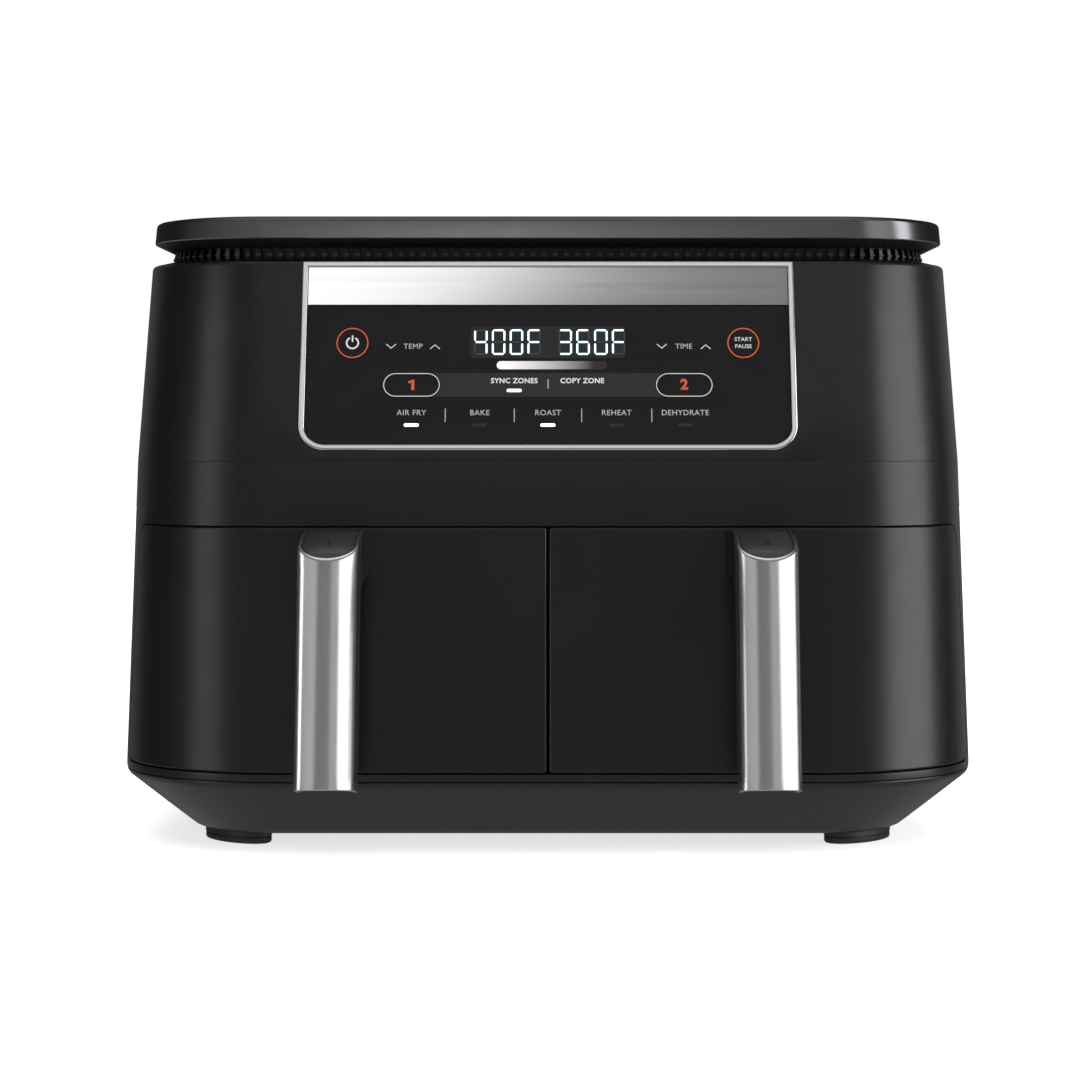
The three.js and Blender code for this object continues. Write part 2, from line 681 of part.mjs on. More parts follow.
function heaterGuard() {
  const [z0, z1] = [158.6, 160];
  const ringOf = (radius) => {
    const profile = [[-1, z0], [1, z0], [1, z1], [-1, z1], [-1, z0]];
    const points = profile.map(([x, y]) => new THREE.Vector2(radius + x, y));
    return solid(new THREE.LatheGeometry(points, 18).rotateX(Math.PI / 2).translate(BAY_X, BAY_Y, 0));
  };
  const rings = [24, 52, 80].map(ringOf);
  const reach = (LINER.x1 - LINER.x0) / 2 - LINER.wall - GAP;
  const spokes = [0, 1].map((turn) => {
    const bar = new THREE.BoxGeometry(2 * reach, 3, z1 - z0).rotateZ(turn * 90 * DEG);
    return solid(bar.translate(BAY_X, BAY_Y, (z0 + z1) / 2));
  });
  return join([...rings, ...spokes]);
}

// A hub with straight blades set round it.
function fan({ hub, tip, blades, z0, z1 }) {
  const parts = [cylinder(BAY_X, BAY_Y, hub, z0, z1, 20)];
  for (let i = 0; i < blades; i++) {
    const blade = new THREE.BoxGeometry(tip - hub + 2, 1.6, z1 - z0 - 2);
    blade.rotateX(28 * DEG).translate((tip + hub) / 2 - 1, 0, (z0 + z1) / 2);
    blade.rotateZ((i * 2 * Math.PI) / blades).translate(BAY_X, BAY_Y, 0);
    parts.push(solid(blade));
  }
  return join(parts).subtract(cylinder(BAY_X, BAY_Y, SHAFT.radius + GAP, z0 - 5, z1 + 5, 16));
}

const SHAFT = { radius: 4, z0: 180, z1: 227 };
const MOTOR = { z0: 217.3, z1: 262, radius: 31 };

function motor() {
  const can = cylinder(BAY_X, BAY_Y, MOTOR.radius, MOTOR.z0, MOTOR.z1, 28);
  const boss = cylinder(BAY_X, BAY_Y, 11, MOTOR.z1 - 1, MOTOR.z1 + 6, 16);
  const bore = cylinder(BAY_X, BAY_Y, SHAFT.radius + GAP, MOTOR.z0 - 5, SHAFT.z1 + 1, 16);
  return join([can, boss]).subtract(bore);
}

function motorBracket() {
  const plate = box(BAY_X - 45, BAY_X + 45, BAY_Y - 45, BAY_Y + 45, 214.6, 217);
  const legs = [];
  for (const dx of [-41, 41])
    for (const dy of [-41, 41])
      legs.push(box(BAY_X + dx - 4, BAY_X + dx + 4, BAY_Y + dy - 4, BAY_Y + dy + 4, 200.7, 215));
  return join([plate, ...legs]).subtract(cylinder(BAY_X, BAY_Y, 9, 200, 230));
}

function powerBoard() {
  const sheet = box(-46, 46, -30, 110, 207, 208.6);
  const posts = [];
  for (const x of [-42, 42])
    for (const y of [-26, 106]) posts.push(cylinder(x, y, 3, 200.7, 207.5, 10));
  const transformer = box(-30, 2, 60, 96, 208, 232);
  const relays = [0, 24, 48].map((step) => box(14, 34, -20 + step, -4 + step, 208, 224));
  const capacitors = [-34, -14].map((x) => cylinder(x, 36, 8, 208, 236, 14));
  return join([sheet, ...posts, transformer, ...relays, ...capacitors]);
}

function drawerSwitch() {
  const housing = box(0.6, 7.4, -82.6, -64, 95, 107);
  return housing.add(box(4, 6, -90.6, -82, 99.2, 102.8));
}

function heatAndAir() {
  const coilHoles = coilHolesThroughLiner();
  placePair("chamber_liner", chamberLiner(coilHoles), "liner");
  placePair("heater_guard", heaterGuard(), "liner");
  placePair("heater_coil", heaterCoil(), "heater");
  placePair("hot_air_fan", fan({ hub: 11, tip: 53, blades: 8, z0: 180.5, z1: 193.5 }), "fan");
  placePair("cooling_fan", fan({ hub: 10, tip: 45, blades: 7, z0: 203, z1: 212.5 }), "darkPlastic");
  placePair("motor_shaft", cylinder(BAY_X, BAY_Y, SHAFT.radius, SHAFT.z0, SHAFT.z1, 16), "fan");
  placePair("motor", motor(), "liner");
  placePair("motor_bracket", motorBracket(), "liner");
  placePair("exhaust_duct", exhaustDuct(), "liner");
  placePair("exhaust_grille", exhaustGrille(), "satinBlack");
  placePair("drawer_switch", drawerSwitch(), "darkPlastic");
  place("power_board", powerBoard(), "board");
  place("chassis_deck", chassisDeck(coilHoles), "darkPlastic");
}

function housing() {
  const pockets = feet();
  place("base_pan", basePan().add(footBosses()).subtract(pockets), "satinBlack");
  place("lower_shell", lowerShell(), "satinBlack");
  place("upper_shell", upperShell().subtract(controlPanel()), "satinBlack");
  place("vent_ring", ventRing(), "darkPlastic");
  place("top_lid", topLid(), "greyGloss");
  place("bay_frame", bayFrame(), "darkPlastic");
  place("cord_gland", cordGland(), "rubber");
}

housing();
drawers();
heatAndAir();

export default fryer;
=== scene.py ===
"""Looks of a countertop air fryer with two drawers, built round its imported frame.

Lengths are in millimetres, as in the part's own source, and turned into metres as each mesh
is made. The outer shells, drawer fronts, handles, panel and baskets are finer copies of the
CAD nodes that they stand for; everything inside keeps its CAD mesh and gets its material.
"""

import math

import bmesh
import bpy
from mathutils import Matrix, Vector


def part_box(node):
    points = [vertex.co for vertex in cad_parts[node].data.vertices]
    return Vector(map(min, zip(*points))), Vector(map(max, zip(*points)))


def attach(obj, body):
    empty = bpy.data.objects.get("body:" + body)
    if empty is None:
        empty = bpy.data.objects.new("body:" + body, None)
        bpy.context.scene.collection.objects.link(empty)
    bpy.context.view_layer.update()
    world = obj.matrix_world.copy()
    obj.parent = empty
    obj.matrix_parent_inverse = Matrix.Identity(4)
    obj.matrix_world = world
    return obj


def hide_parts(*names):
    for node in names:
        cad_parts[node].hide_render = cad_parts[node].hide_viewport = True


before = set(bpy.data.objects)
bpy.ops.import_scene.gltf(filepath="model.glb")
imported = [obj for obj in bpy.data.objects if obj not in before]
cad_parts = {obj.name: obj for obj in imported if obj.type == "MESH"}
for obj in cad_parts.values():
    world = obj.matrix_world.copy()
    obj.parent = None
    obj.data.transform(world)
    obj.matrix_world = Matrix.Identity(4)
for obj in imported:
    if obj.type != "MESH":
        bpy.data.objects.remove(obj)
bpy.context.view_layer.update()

MM = 0.001
SIDES = {"right": 1, "left": -1}

# ---------- the body's form, as the part has it ----------
Z_FLOOR = 6.0
Z_SKIRT = 35.0
Z_LIP = 38.7
Z_BAY = 154.2
Z_SEAM = 184.8
Z_SHOULDER = 282.6
Z_LID = 293.9
Z_TOP = 305.0
FRONT = -127.5
LOWER_TILT = math.radians(10)
UPPER_TILT = math.radians(17)
HALF_WIDTHS = (208.0, 205.0, 200.9)  # at the lip, the seam and the shoulder
BACKS = (172.5, 171.0, 168.0)
FRONT_RADII = (80.0, 62.0)  # at the lip and the shoulder
BACK_RADIUS = 45.0
WALL = 2.6
GAP = 0.3
WRAP_LOW, WRAP_HIGH = 58.0, 45.0  # how far a drawer front wraps back, at its foot and top
FINE_RIM = 0.15
CLEAR = 260.0  # past the body on every side
BAY_CORNER = 9.0
FASCIA_BACK = -93.8
BAY_X = 100.0
BASKET_FLOOR, BASKET_RIM = 44.0, 150.0
BASKET_PLAN = ((77.0, 5.0), (-86.0, -4.9), (126.0, 5.0))  # half, front, back; each with its flare
BASKET_CORNER = 26.0

# ---------- panel, measured up the slope from the seam ----------
PANEL_HALF = 119.5
PANEL_BOTTOM = 5.5
PANEL_TOP = 101.6
PANEL_CORNER = 12.7
BEZEL = 2.7
STRIP_BOTTOM = 79.0

# ---------- handle, in the frame of the tilted drawer face ----------
HANDLE_X = 101.3
HANDLE_REACH = 46.5
HANDLE_HALF = 14.3
HANDLE_NOSE = 12.5
HANDLE_LENGTH = 125.0
HANDLE_LEAN = 0.25
HANDLE_CURL = (20.6 - HANDLE_LEAN * HANDLE_REACH) / HANDLE_REACH**3
HANDLE_TOP = Z_BAY - 1.6
WING_DEPTH = 14.0


# ---------- materials ----------
def new_node(tree, kind, **numbers):
    """A shader node, with the numbers on its inputs."""
    node = tree.nodes.new("ShaderNode" + kind)
    for label, value in numbers.items():
        node.inputs[label.replace("_", " ")].default_value = value
    return node


def new_material(name, color, roughness, metallic=0.0, specular=0.5):
    """A material on one Principled shader, with its node tree and the shader."""
    material = bpy.data.materials.new(name)
    material.use_nodes = True
    tree = material.node_tree
    shader = tree.nodes["Principled BSDF"]
    shader.inputs["Base Color"].default_value = (*color, 1.0)
    shader.inputs["Roughness"].default_value = roughness
    shader.inputs["Metallic"].default_value = metallic
    shader.inputs["Specular IOR Level"].default_value = specular
    return material, tree, shader


def noise(tree, scale, detail=3.0, stretch=(1.0, 1.0, 1.0)):
    """Object-space noise, stretched along an axis where its scale is small."""
    place = new_node(tree, "TexCoord")
    mapping = new_node(tree, "Mapping", Scale=stretch)
    texture = new_node(tree, "TexNoise", Scale=scale, Detail=detail)
    tree.links.new(place.outputs["Object"], mapping.inputs["Vector"])
    tree.links.new(mapping.outputs["Vector"], texture.inputs["Vector"])
    return texture.outputs["Fac"]


def ramp_between(tree, source, start, end, low, high):
    """A value that goes from low to high as the source goes from start to end."""
    node = new_node(tree, "MapRange", From_Min=start, From_Max=end, To_Min=low, To_Max=high)
    tree.links.new(source, node.inputs["Value"])
    return node.outputs["Result"]


def color_ramp(tree, source, first, last, start=0.2, end=0.8):
    """A colour that goes from the first to the last as the source goes from start to end."""
    ramp = new_node(tree, "ValToRGB")
    for stop, place, color in zip(ramp.color_ramp.elements, (start, end), (first, last)):
        stop.position = place
        stop.color = (*color, 1.0)
    tree.links.new(source, ramp.inputs["Fac"])
    return ramp.outputs["Color"]


def vary_gloss(tree, shader, source, low, high):
    """Drives the roughness between two values over a noise's usual range."""
    gloss = ramp_between(tree, source, 0.15, 0.85, low, high)
    tree.links.new(gloss, shader.inputs["Roughness"])


def emboss(tree, shader, source, strength, distance):
    bump = new_node(tree, "Bump", Strength=strength, Distance=distance)
    tree.links.new(source, bump.inputs["Height"])
    tree.links.new(bump.outputs["Normal"], shader.inputs["Normal"])


def moulded(name, dark, light, roughness, grain=900.0, depth=0.00002):
    """Moulded plastic: a fine spark-eroded grain, slightly uneven gloss."""
    material, tree, shader = new_material(name, light, roughness)
    tree.links.new(color_ramp(tree, noise(tree, 14.0), dark, light), shader.inputs["Base Color"])
    vary_gloss(tree, shader, noise(tree, 60.0), roughness - 0.03, roughness + 0.04)
    emboss(tree, shader, noise(tree, grain, 2.0), 0.12, depth)
    return material


def polished(name, color, roughness, metallic=0.0, specular=0.5):
    """A smooth gloss finish with faint smears in its roughness."""
    material, tree, shader = new_material(name, color, roughness, metallic, specular)
    vary_gloss(tree, shader, noise(tree, 22.0, 5.0), roughness * 0.8, roughness * 1.3 + 0.01)
    return material


def brushed(name, dark, light, roughness, stretch):
    """Brushed steel: hairlines along one axis, in colour, gloss and relief."""
    material, tree, shader = new_material(name, light, roughness, 1.0)
    lines = noise(tree, 1.0, 4.0, stretch)
    tree.links.new(color_ramp(tree, lines, dark, light), shader.inputs["Base Color"])
    vary_gloss(tree, shader, lines, roughness - 0.03, roughness + 0.04)
    emboss(tree, shader, lines, 0.02, 0.00001)
    return material


def speckled(name, base, fleck, roughness):
    """Nonstick coating with fine light flecks."""
    material, tree, shader = new_material(name, base, roughness, 0.1)
    flecks = color_ramp(tree, noise(tree, 1400.0, 1.0), base, fleck, 0.66, 0.72)
    tree.links.new(flecks, shader.inputs["Base Color"])
    emboss(tree, shader, noise(tree, 500.0, 3.0), 0.3, 0.00008)
    return material


def glowing(name, color, strength):
    material, _, shader = new_material(name, color, 0.4)
    shader.inputs["Emission Color"].default_value = (*color, 1.0)
    shader.inputs["Emission Strength"].default_value = strength
    return material


def painted_highlight_fade(name, bright, dark, start, end):
    """Silver print with a painted highlight: bright at one end and fading to dark along X between two
    places, in millimetres; it glows a little as well.
    """
    material, tree, shader = new_material(name, bright, 0.35)
    place, split = new_node(tree, "TexCoord"), new_node(tree, "SeparateXYZ")
    tree.links.new(place.outputs["Object"], split.inputs["Vector"])
    share = ramp_between(tree, split.outputs["X"], start * MM, end * MM, 0.0, 1.0)
    color = color_ramp(tree, share, bright, dark, 0.0, 1.0)
    tree.links.new(color, shader.inputs["Base Color"])
    tree.links.new(color, shader.inputs["Emission Color"])
    shader.inputs["Emission Strength"].default_value = 0.6
    return material


def grey(value):
    return value, value, value


LOOKS = {
    moulded: {
        # dark and light colour, roughness, and where they differ the grain's scale and depth
        "satin_black": ((0.0052, 0.0049, 0.0051), (0.0078, 0.0073, 0.0077), 0.3),
        "dark_plastic": ((0.008, 0.008, 0.0085), (0.012, 0.012, 0.013), 0.42),
        # matte black for the grilles and the handle's number, also used as painted shade on the lid's
        # dish
        "matte_black_and_painted_shade": (grey(0.004), grey(0.007), 0.5),
        # the vent's wall and fins, darker than the body as painted shade under the lid
        "vent_painted_shade": (grey(0.0025), grey(0.0035), 0.34),
        # the steps on the vent's fins, lighter than the fins as a painted highlight where their lower
        # ends catch the light
        "vent_painted_highlight": (grey(0.03), grey(0.042), 0.5),
        "handle_grey": ((0.045, 0.046, 0.05), (0.058, 0.059, 0.064), 0.36),
        "board": ((0.01, 0.08, 0.03), (0.015, 0.12, 0.05), 0.45),
        "rubber": (grey(0.009), grey(0.015), 0.5, 600.0, 0.00004),
    },
    polished: {
        # colour, roughness, metallic, specular level
        "lid_grey": ((0.285, 0.281, 0.298), 0.22, 1.0),
        "gloss_black": ((0.0135, 0.012, 0.0128), 0.1, 0.0, 0.35),
        "display_glass": ((0.028, 0.029, 0.031), 0.12, 0.0, 0.3),
        "chrome": ((0.72, 0.72, 0.73), 0.16, 1.0),
        "print_band": ((0.036, 0.033, 0.034), 0.25, 0.0, 0.3),
    },
    brushed: {
        # dark and light colour, roughness, the noise's stretch
        "brushed_steel": (grey(0.69), grey(0.73), 0.24, (250.0, 250.0, 1.5)),
        "strip_steel": ((0.69, 0.68, 0.68), (0.73, 0.72, 0.72), 0.3, (2.0, 250.0, 250.0)),
        "liner": (grey(0.3), grey(0.42), 0.38, (60.0, 60.0, 60.0)),
        "heater": ((0.05, 0.045, 0.04), (0.12, 0.1, 0.085), 0.42, (120.0, 120.0, 120.0)),
        "fan": ((0.4, 0.4, 0.41), (0.55, 0.55, 0.56), 0.32, (40.0, 40.0, 200.0)),
    },
    speckled: {"nonstick": ((0.016, 0.016, 0.017), grey(0.1), 0.4)},
    glowing: {
        # colour and strength
        "print_white": ((0.55, 0.55, 0.56), 0.45),
        "print_grey": ((0.4, 0.4, 0.41), 0.3),
        "print_faint": ((0.02, 0.019, 0.02), 0.0),
        "print_orange": ((0.5, 0.085, 0.032), 0.3),
        "lamp_white": ((0.95, 0.98, 1.0), 1.1),
        "digit_lit": ((0.75, 0.95, 1.0), 1.2),
        "digit_halo": ((0.02, 0.07, 0.1), 0.25),
        "digit_unlit": ((0.042, 0.044, 0.048), 0.05),
    },
    # the silver pill's highlight is painted: a fade from bright to dark along X, with a faint glow
    painted_highlight_fade: {"print_silver_painted_highlight": (grey(0.8), (0.013, 0.012, 0.013), -28.0, 22.0)},
}
MATERIALS = {name: make(name, *row) for make, rows in LOOKS.items() for name, row in rows.items()}
SHARP_EDGE = math.radians(32)


# ---------- mesh helpers ----------
def weld(mesh, distance=1e-6):
    """Merges doubled vertices and turns every face outwards."""
    work = bmesh.new()
    work.from_mesh(mesh)
    bmesh.ops.remove_doubles(work, verts=work.verts, dist=distance)
    bmesh.ops.dissolve_degenerate(work, edges=work.edges, dist=distance)
    bmesh.ops.recalc_face_normals(work, faces=work.faces)
    work.to_mesh(mesh)
    work.free()


def add_object(name, data):
    """An object in the scene, for a mesh, curve, light or camera."""
    thing = bpy.data.objects.new(name, data)
    bpy.context.scene.collection.objects.link(thing)
    return thing


def evaluated_mesh(thing):
    """A mesh of what an object comes to, with its modifiers."""
    graph = bpy.context.evaluated_depsgraph_get()
    return bpy.data.meshes.new_from_object(thing.evaluated_get(graph))


def finish_mesh(name, mesh, material, nodes=(), body="housing"):
    """Shades a mesh, gives it its material and body, and hides the CAD nodes it stands for."""
    mesh.shade_smooth()
    mesh.set_sharp_from_angle(angle=SHARP_EDGE)
    mesh.materials.clear()
    mesh.materials.append(MATERIALS[material])
    piece = add_object(name, mesh)
    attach(piece, body)
    if nodes:
        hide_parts(*nodes)


def mesh_from(name, points, faces):
    mesh = bpy.data.meshes.new(name)
    mesh.from_pydata([tuple(c * MM for c in point) for point in points], [], faces)
    weld(mesh)
    return mesh


def joined(name, meshes):
    """One mesh from several, each kept as it is."""
    work = bmesh.new()
    for mesh in meshes:
        work.from_mesh(mesh)
    result = bpy.data.meshes.new(name)
    work.to_mesh(result)
    work.free()
    return result


def mirrored(mesh):
    """A copy of a mesh on the other side of the middle."""
    copy = mesh.copy()
    copy.transform(Matrix.Diagonal((-1.0, 1.0, 1.0, 1.0)))
    copy.flip_normals()
    return copy


def rungs(first, count):
    """Faces across a loop whose ends mirror each other, so that a curved cap stays smooth."""
    faces = []
    for i in range(count // 2):
        a, b, c, d = i, i + 1, count - 2 - i, count - 1 - i
        faces.append(tuple(first + k for k in ((a, b, d) if b == c else (a, b, c, d))))
        if b + 1 >= c:
            break
    return faces


def loft(name, rings, closed=False, curved_cap=False):
    """Skins a list of equal rings; open stacks get a cap at each end."""
    count = len(rings[0])
    points = [point for ring in rings for point in ring]
    faces = []
    for level in range(len(rings) if closed else len(rings) - 1):
        low = level * count
        high = (level + 1) % len(rings) * count
        for i in range(count):
            j = (i + 1) % count
            faces.append((low + i, low + j, high + j, high + i))
    if not closed:
        faces.append(tuple(reversed(range(count))))
        last = (len(rings) - 1) * count
        faces += rungs(last, count) if curved_cap else [tuple(range(last, last + count))]
    return mesh_from(name, points, faces)


def arc(x, y, radius, start, turn, count):
    """Points round a centre, from one angle through a turn, both in degrees."""
    angles = [math.radians(start + turn * i / count) for i in range(count + 1)]
    return [(x + radius * math.cos(a), y + radius * math.sin(a)) for a in angles]


def plan(x0, x1, y0, y1, front_radius, back_radius, z, count, flat):
    """A rounded rectangle at one height, with extra points along its straight sides."""
    corners = (
        (x1 - front_radius, y0 + front_radius, front_radius, -90),
        (x1 - back_radius, y1 - back_radius, back_radius, 0),
        (x0 + back_radius, y1 - back_radius, back_radius, 90),
        (x0 + front_radius, y0 + front_radius, front_radius, 180),
    )
    arcs = [[(*point, z) for point in arc(*corner, 90, count)] for corner in corners]
    ring = []
    for points, following in zip(arcs, arcs[1:] + arcs[:1]):
        ring += points
        here, there = Vector(points[-1]), Vector(following[0])
        ring += [tuple(here.lerp(there, k / (flat + 1))) for k in range(1, flat + 1)]
    return ring


def quarter(radius, steps=5):
    """How far in and how far along a rounded edge goes, from its side to its end."""
    angles = [math.pi / 2 * i / steps for i in range(steps + 1)]
    return [(radius * (1 - math.cos(a)), radius * math.sin(a)) for a in angles]


def boolean(name, piece_mesh, cutter_mesh):
    """The first mesh less the second."""
    target, cutter = add_object(name, piece_mesh), add_object(name + "_cutter", cutter_mesh)
    cut = target.modifiers.new("cut", "BOOLEAN")
    cut.operation = "DIFFERENCE"
    cut.solver = "EXACT"
    cut.object = cutter
    result = evaluated_mesh(target)
    for thing in (target, cutter):
        bpy.data.objects.remove(thing)
    weld(result)
    return result


# ---------- flat plates from outlines ----------
CAPITAL_SHARE = 0.7  # of the font's size


def mesh_of_curve(curve, x, y, z):
    """Turns a curve into a mesh, moved by so many millimetres."""
    holder = add_object(curve.name, curve)
    mesh = evaluated_mesh(holder)
    bpy.data.objects.remove(holder)
    mesh.transform(Matrix.Translation((x * MM, y * MM, z * MM)))
    weld(mesh)
    return mesh


def plate_mesh(name, loops, thickness, edge=0.0, resolution=3):
    """A flat plate of closed loops, the later ones holes, its face at z = 0 and its back below."""
    curve = bpy.data.curves.new(name, "CURVE")
    curve.dimensions = "2D"
    curve.fill_mode = "BOTH"
    curve.extrude = (thickness / 2 - edge) * MM
    curve.bevel_depth = edge * MM
    curve.bevel_resolution = resolution
    curve.offset = -edge * MM
    for loop in loops:
        spline = curve.splines.new("POLY")
        spline.points.add(len(loop) - 1)
        for point, (x, y) in zip(spline.points, loop):
            point.co = (x * MM, y * MM, 0.0, 1.0)
        spline.use_cyclic_u = True
    return mesh_of_curve(curve, 0.0, 0.0, -thickness / 2)


def words_mesh(words, height, x, y, bold=0.0):
    """Plain lettering centred on a point, as a thin plate; the height is a capital letter's."""
    curve = bpy.data.curves.new("words", "FONT")
    curve.body = words
    curve.size = height / CAPITAL_SHARE * MM
    curve.align_x = "CENTER"
    curve.align_y = "CENTER"
    curve.space_character = 1.06
    curve.offset = bold * MM
    curve.extrude = 0.05 * MM
    curve.resolution_u = 3
    return mesh_of_curve(curve, x, y, 0.0)


def circle(x, y, radius, count=64):
    return arc(x, y, radius, 0, 360, count)[:-1]


def stadium(x, y, half, radius, count=24):
    """A slot along X: half is the length of its straight part, from its middle."""
    return arc(x + half, y, radius, -90, 180, count) + arc(x - half, y, radius, 90, 180, count)


def bar(x, y, width, height, radius=0.0, count=6):
    """A rectangle with round corners, centred on a point."""
    if radius <= 0:
        left, right, low, high = x - width / 2, x + width / 2, y - height / 2, y + height / 2
        return [(left, low), (right, low), (right, high), (left, high)]
    loop = []
    for sx, sy, start in ((1, -1, -90), (1, 1, 0), (-1, 1, 90), (-1, -1, 180)):
        cx, cy = x + sx * (width / 2 - radius), y + sy * (height / 2 - radius)
        loop += arc(cx, cy, radius, start, 90, count)
    return loop


def round_below(half, low, high, radius, count=16):
    """An outline with square upper corners and round lower ones."""
    loop = [(half, high), (-half, high)]
    for cx, start in ((-half + radius, 180), (half - radius, 270)):
        loop += arc(cx, low + radius, radius, start, 90, count)
    return loop


def panel_loop(grow):
    """The panel's outline, grown all round."""
    return round_below(
        PANEL_HALF + grow, PANEL_BOTTOM - grow, PANEL_TOP + grow, PANEL_CORNER + grow
    )


# ---------- the body's form ----------
def between(z, z0, z1, a, b):
    return a + (b - a) * (z - z0) / (z1 - z0)


def front_at(z):
    low = FRONT + (max(min(z, Z_SEAM), Z_LIP) - Z_LIP) * math.tan(LOWER_TILT)
    return low + max(z - Z_SEAM, 0.0) * math.tan(UPPER_TILT)


def section(z):
    """Half width, front, back and front corner radius of the body at one height."""
    level = min(max(z, Z_LIP), Z_SHOULDER)
    upper = level > Z_SEAM
    low, high = (Z_SEAM, Z_SHOULDER) if upper else (Z_LIP, Z_SEAM)
    half = between(level, low, high, HALF_WIDTHS[upper], HALF_WIDTHS[upper + 1])
    back = between(level, low, high, BACKS[upper], BACKS[upper + 1])
    radius = between(level, Z_LIP, Z_SHOULDER, *FRONT_RADII)
    return half, front_at(level), back, radius


def body_ring(level, z, inset):
    """The plan that the body has at one level, drawn in by an inset and put at a height."""
    half, front, back, radius = section(level)
    front_radius, back_radius = max(radius - inset, 1.0), max(BACK_RADIUS - inset, 1.0)
    sides = (inset - half, half - inset, front + inset, back - inset)
    return plan(*sides, front_radius, back_radius, z, count=24, flat=11)


def stack(name, level, steps, closed=False):
    """Rings of the body's plan at one level, each step a height and an inset."""
    return loft(name, [body_ring(level, z, inset) for z, inset in steps], closed)


# ---------- housing ----------
def build_base():
    """The tray under the body: a rounded lip, a straight chamfer and a flat underside."""
    foot = [(0.0, 60.0), (0.0, 36.4), (0.25, 34.9), (0.9, 33.4)]
    lip = [(33.3, 0.65), (34.2, 0.3), (34.8, 0.42), (Z_SKIRT, 0.9), (Z_SKIRT, 12.0)]
    steps = [(Z_FLOOR + rise, inset) for rise, inset in foot]
    steps += [(8.6, 31.2), (20.0, 16.7), (31.0, 2.9), (32.2, 1.5)] + lip
    finish_mesh("base_tray", stack("base_tray", Z_LIP, steps), "satin_black", ["base_pan"])


def seam_at(z):
    """Where the seam behind a drawer front crosses the side, at a given height."""
    share = (z - Z_LIP) / (Z_BAY - Z_LIP)
    return front_at(z) + WRAP_LOW + (WRAP_HIGH - WRAP_LOW) * share


def bay_cutter():
    """What the drawers take out of the lower shell, round where it meets the sides."""
    outline = [(-CLEAR, Z_BAY), (-CLEAR, Z_LIP)]
    for z, start in ((Z_LIP + BAY_CORNER, -90), (Z_BAY - BAY_CORNER, 0)):
        outline += arc(seam_at(z) - BAY_CORNER, z, BAY_CORNER, start, 90, 8)
    return loft("bay_cutter", [[(x, y, z) for y, z in outline] for x in (-CLEAR, CLEAR)])


def build_lower_shell():
    """The wall from the base up to the seam, with rounded rims."""
    z0, z1 = Z_SKIRT + GAP, Z_SEAM - 0.02
    rim = quarter(FINE_RIM, 4)
    steps = [(z0 + FINE_RIM - along, inset) for inset, along in reversed(rim)] + [(Z_LIP, 0.0)]
    steps += [(z1 - FINE_RIM + along, inset) for inset, along in rim] + [(z1, WALL), (z0, WALL)]
    mesh = loft("lower_wrap", [body_ring(z, z, inset) for z, inset in steps], closed=True)
    for cutter in (bay_cutter(), rear_cutter()):
        mesh = boolean("lower_wrap", mesh, cutter)
    finish_mesh("lower_wrap", mesh, "satin_black", ["lower_shell"])


def box_mesh(name, x0, x1, y0, y1, z0, z1):
    ring = [(x0, y0), (x1, y0), (x1, y1), (x0, y1)]
    return loft(name, [[(x, y, z) for x, y in ring] for z in (z0, z1)])


def node_middle(node):
    """The middle of a CAD node's box, in millimetres."""
    low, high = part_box(node)
    return (low.x + high.x) / 2 / MM, (low.y + high.y) / 2 / MM, (low.z + high.z) / 2 / MM


def rear_cutter():
    """The two exhaust windows and the cord's hole."""
    low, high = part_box("exhaust_grille_right")
    cuts = []
    for side in SIDES.values():
        edges = sorted((side * low.x / MM - side * GAP, side * high.x / MM + side * GAP))
        cuts.append(box_mesh("window", *edges, 160.0, 190.0, low.z / MM - GAP, high.z / MM + GAP))
    x, _, z = node_middle("cord_gland")
    rings = [[(px, y, pz) for px, pz in circle(x, z, 7.0, 32)] for y in (150.0, 190.0)]
    cuts.append(loft("hole", rings))
    return joined("rear_cutter", cuts)


def panel_matrix(out=0.0):
    """Takes (across, up the slope, outwards) to where the panel stands."""
    c, s = math.cos(UPPER_TILT), math.sin(UPPER_TILT)
    y, z = front_at(Z_SEAM) - c * out, Z_SEAM + s * out
    return Matrix(((1, 0, 0, 0), (0, s, -c, y * MM), (0, c, s, z * MM), (0, 0, 0, 1)))


def build_upper_shell():
    """The wall from the seam to the shoulder, which it rolls over, and a ledge inside it."""
    z0, level, roll = Z_SEAM + 0.02, Z_SHOULDER, 2.2
    steps = [(z0 + FINE_RIM - along, inset) for inset, along in reversed(quarter(FINE_RIM, 4))]
    steps += [(215.0, 0.0), (250.0, 0.0)]
    steps += [(level - roll + along, inset) for inset, along in quarter(roll, 6)]
    rings = [body_ring(z, z, inset) for z, inset in steps]
    ledge = ((1.6, 9.0), (1.6, 16.0), (-9.0, 16.0), (-9.0, WALL + 2.0))
    rings += [body_ring(level, level + rise, inset) for rise, inset in ledge]
    rings.append(body_ring(z0, z0, WALL))
    cutter = plate_mesh("panel_cutter", [panel_loop(0.2)], 40.0)
    cutter.transform(panel_matrix(20.0))
    mesh = boolean("upper_wrap", loft("upper_wrap", rings, closed=True), cutter)
    finish_mesh("upper_wrap", mesh, "satin_black", ["upper_shell"])


def along_ring(ring, pitch):
    """Evenly spaced places along a closed ring, each with its direction."""
    points = [Vector(point) for point in ring]
    lengths = [(points[(i + 1) % len(points)] - point).length for i, point in enumerate(points)]
    count = round(sum(lengths) / pitch)
    step = sum(lengths) / count
    places, travelled, i = [], 0.0, 0
    for k in range(count):
        while travelled + lengths[i] < k * step:
            travelled += lengths[i]
            i += 1
        heading = (points[(i + 1) % len(points)] - points[i]).normalized()
        places.append((points[i] + heading * (k * step - travelled), heading))
    return places


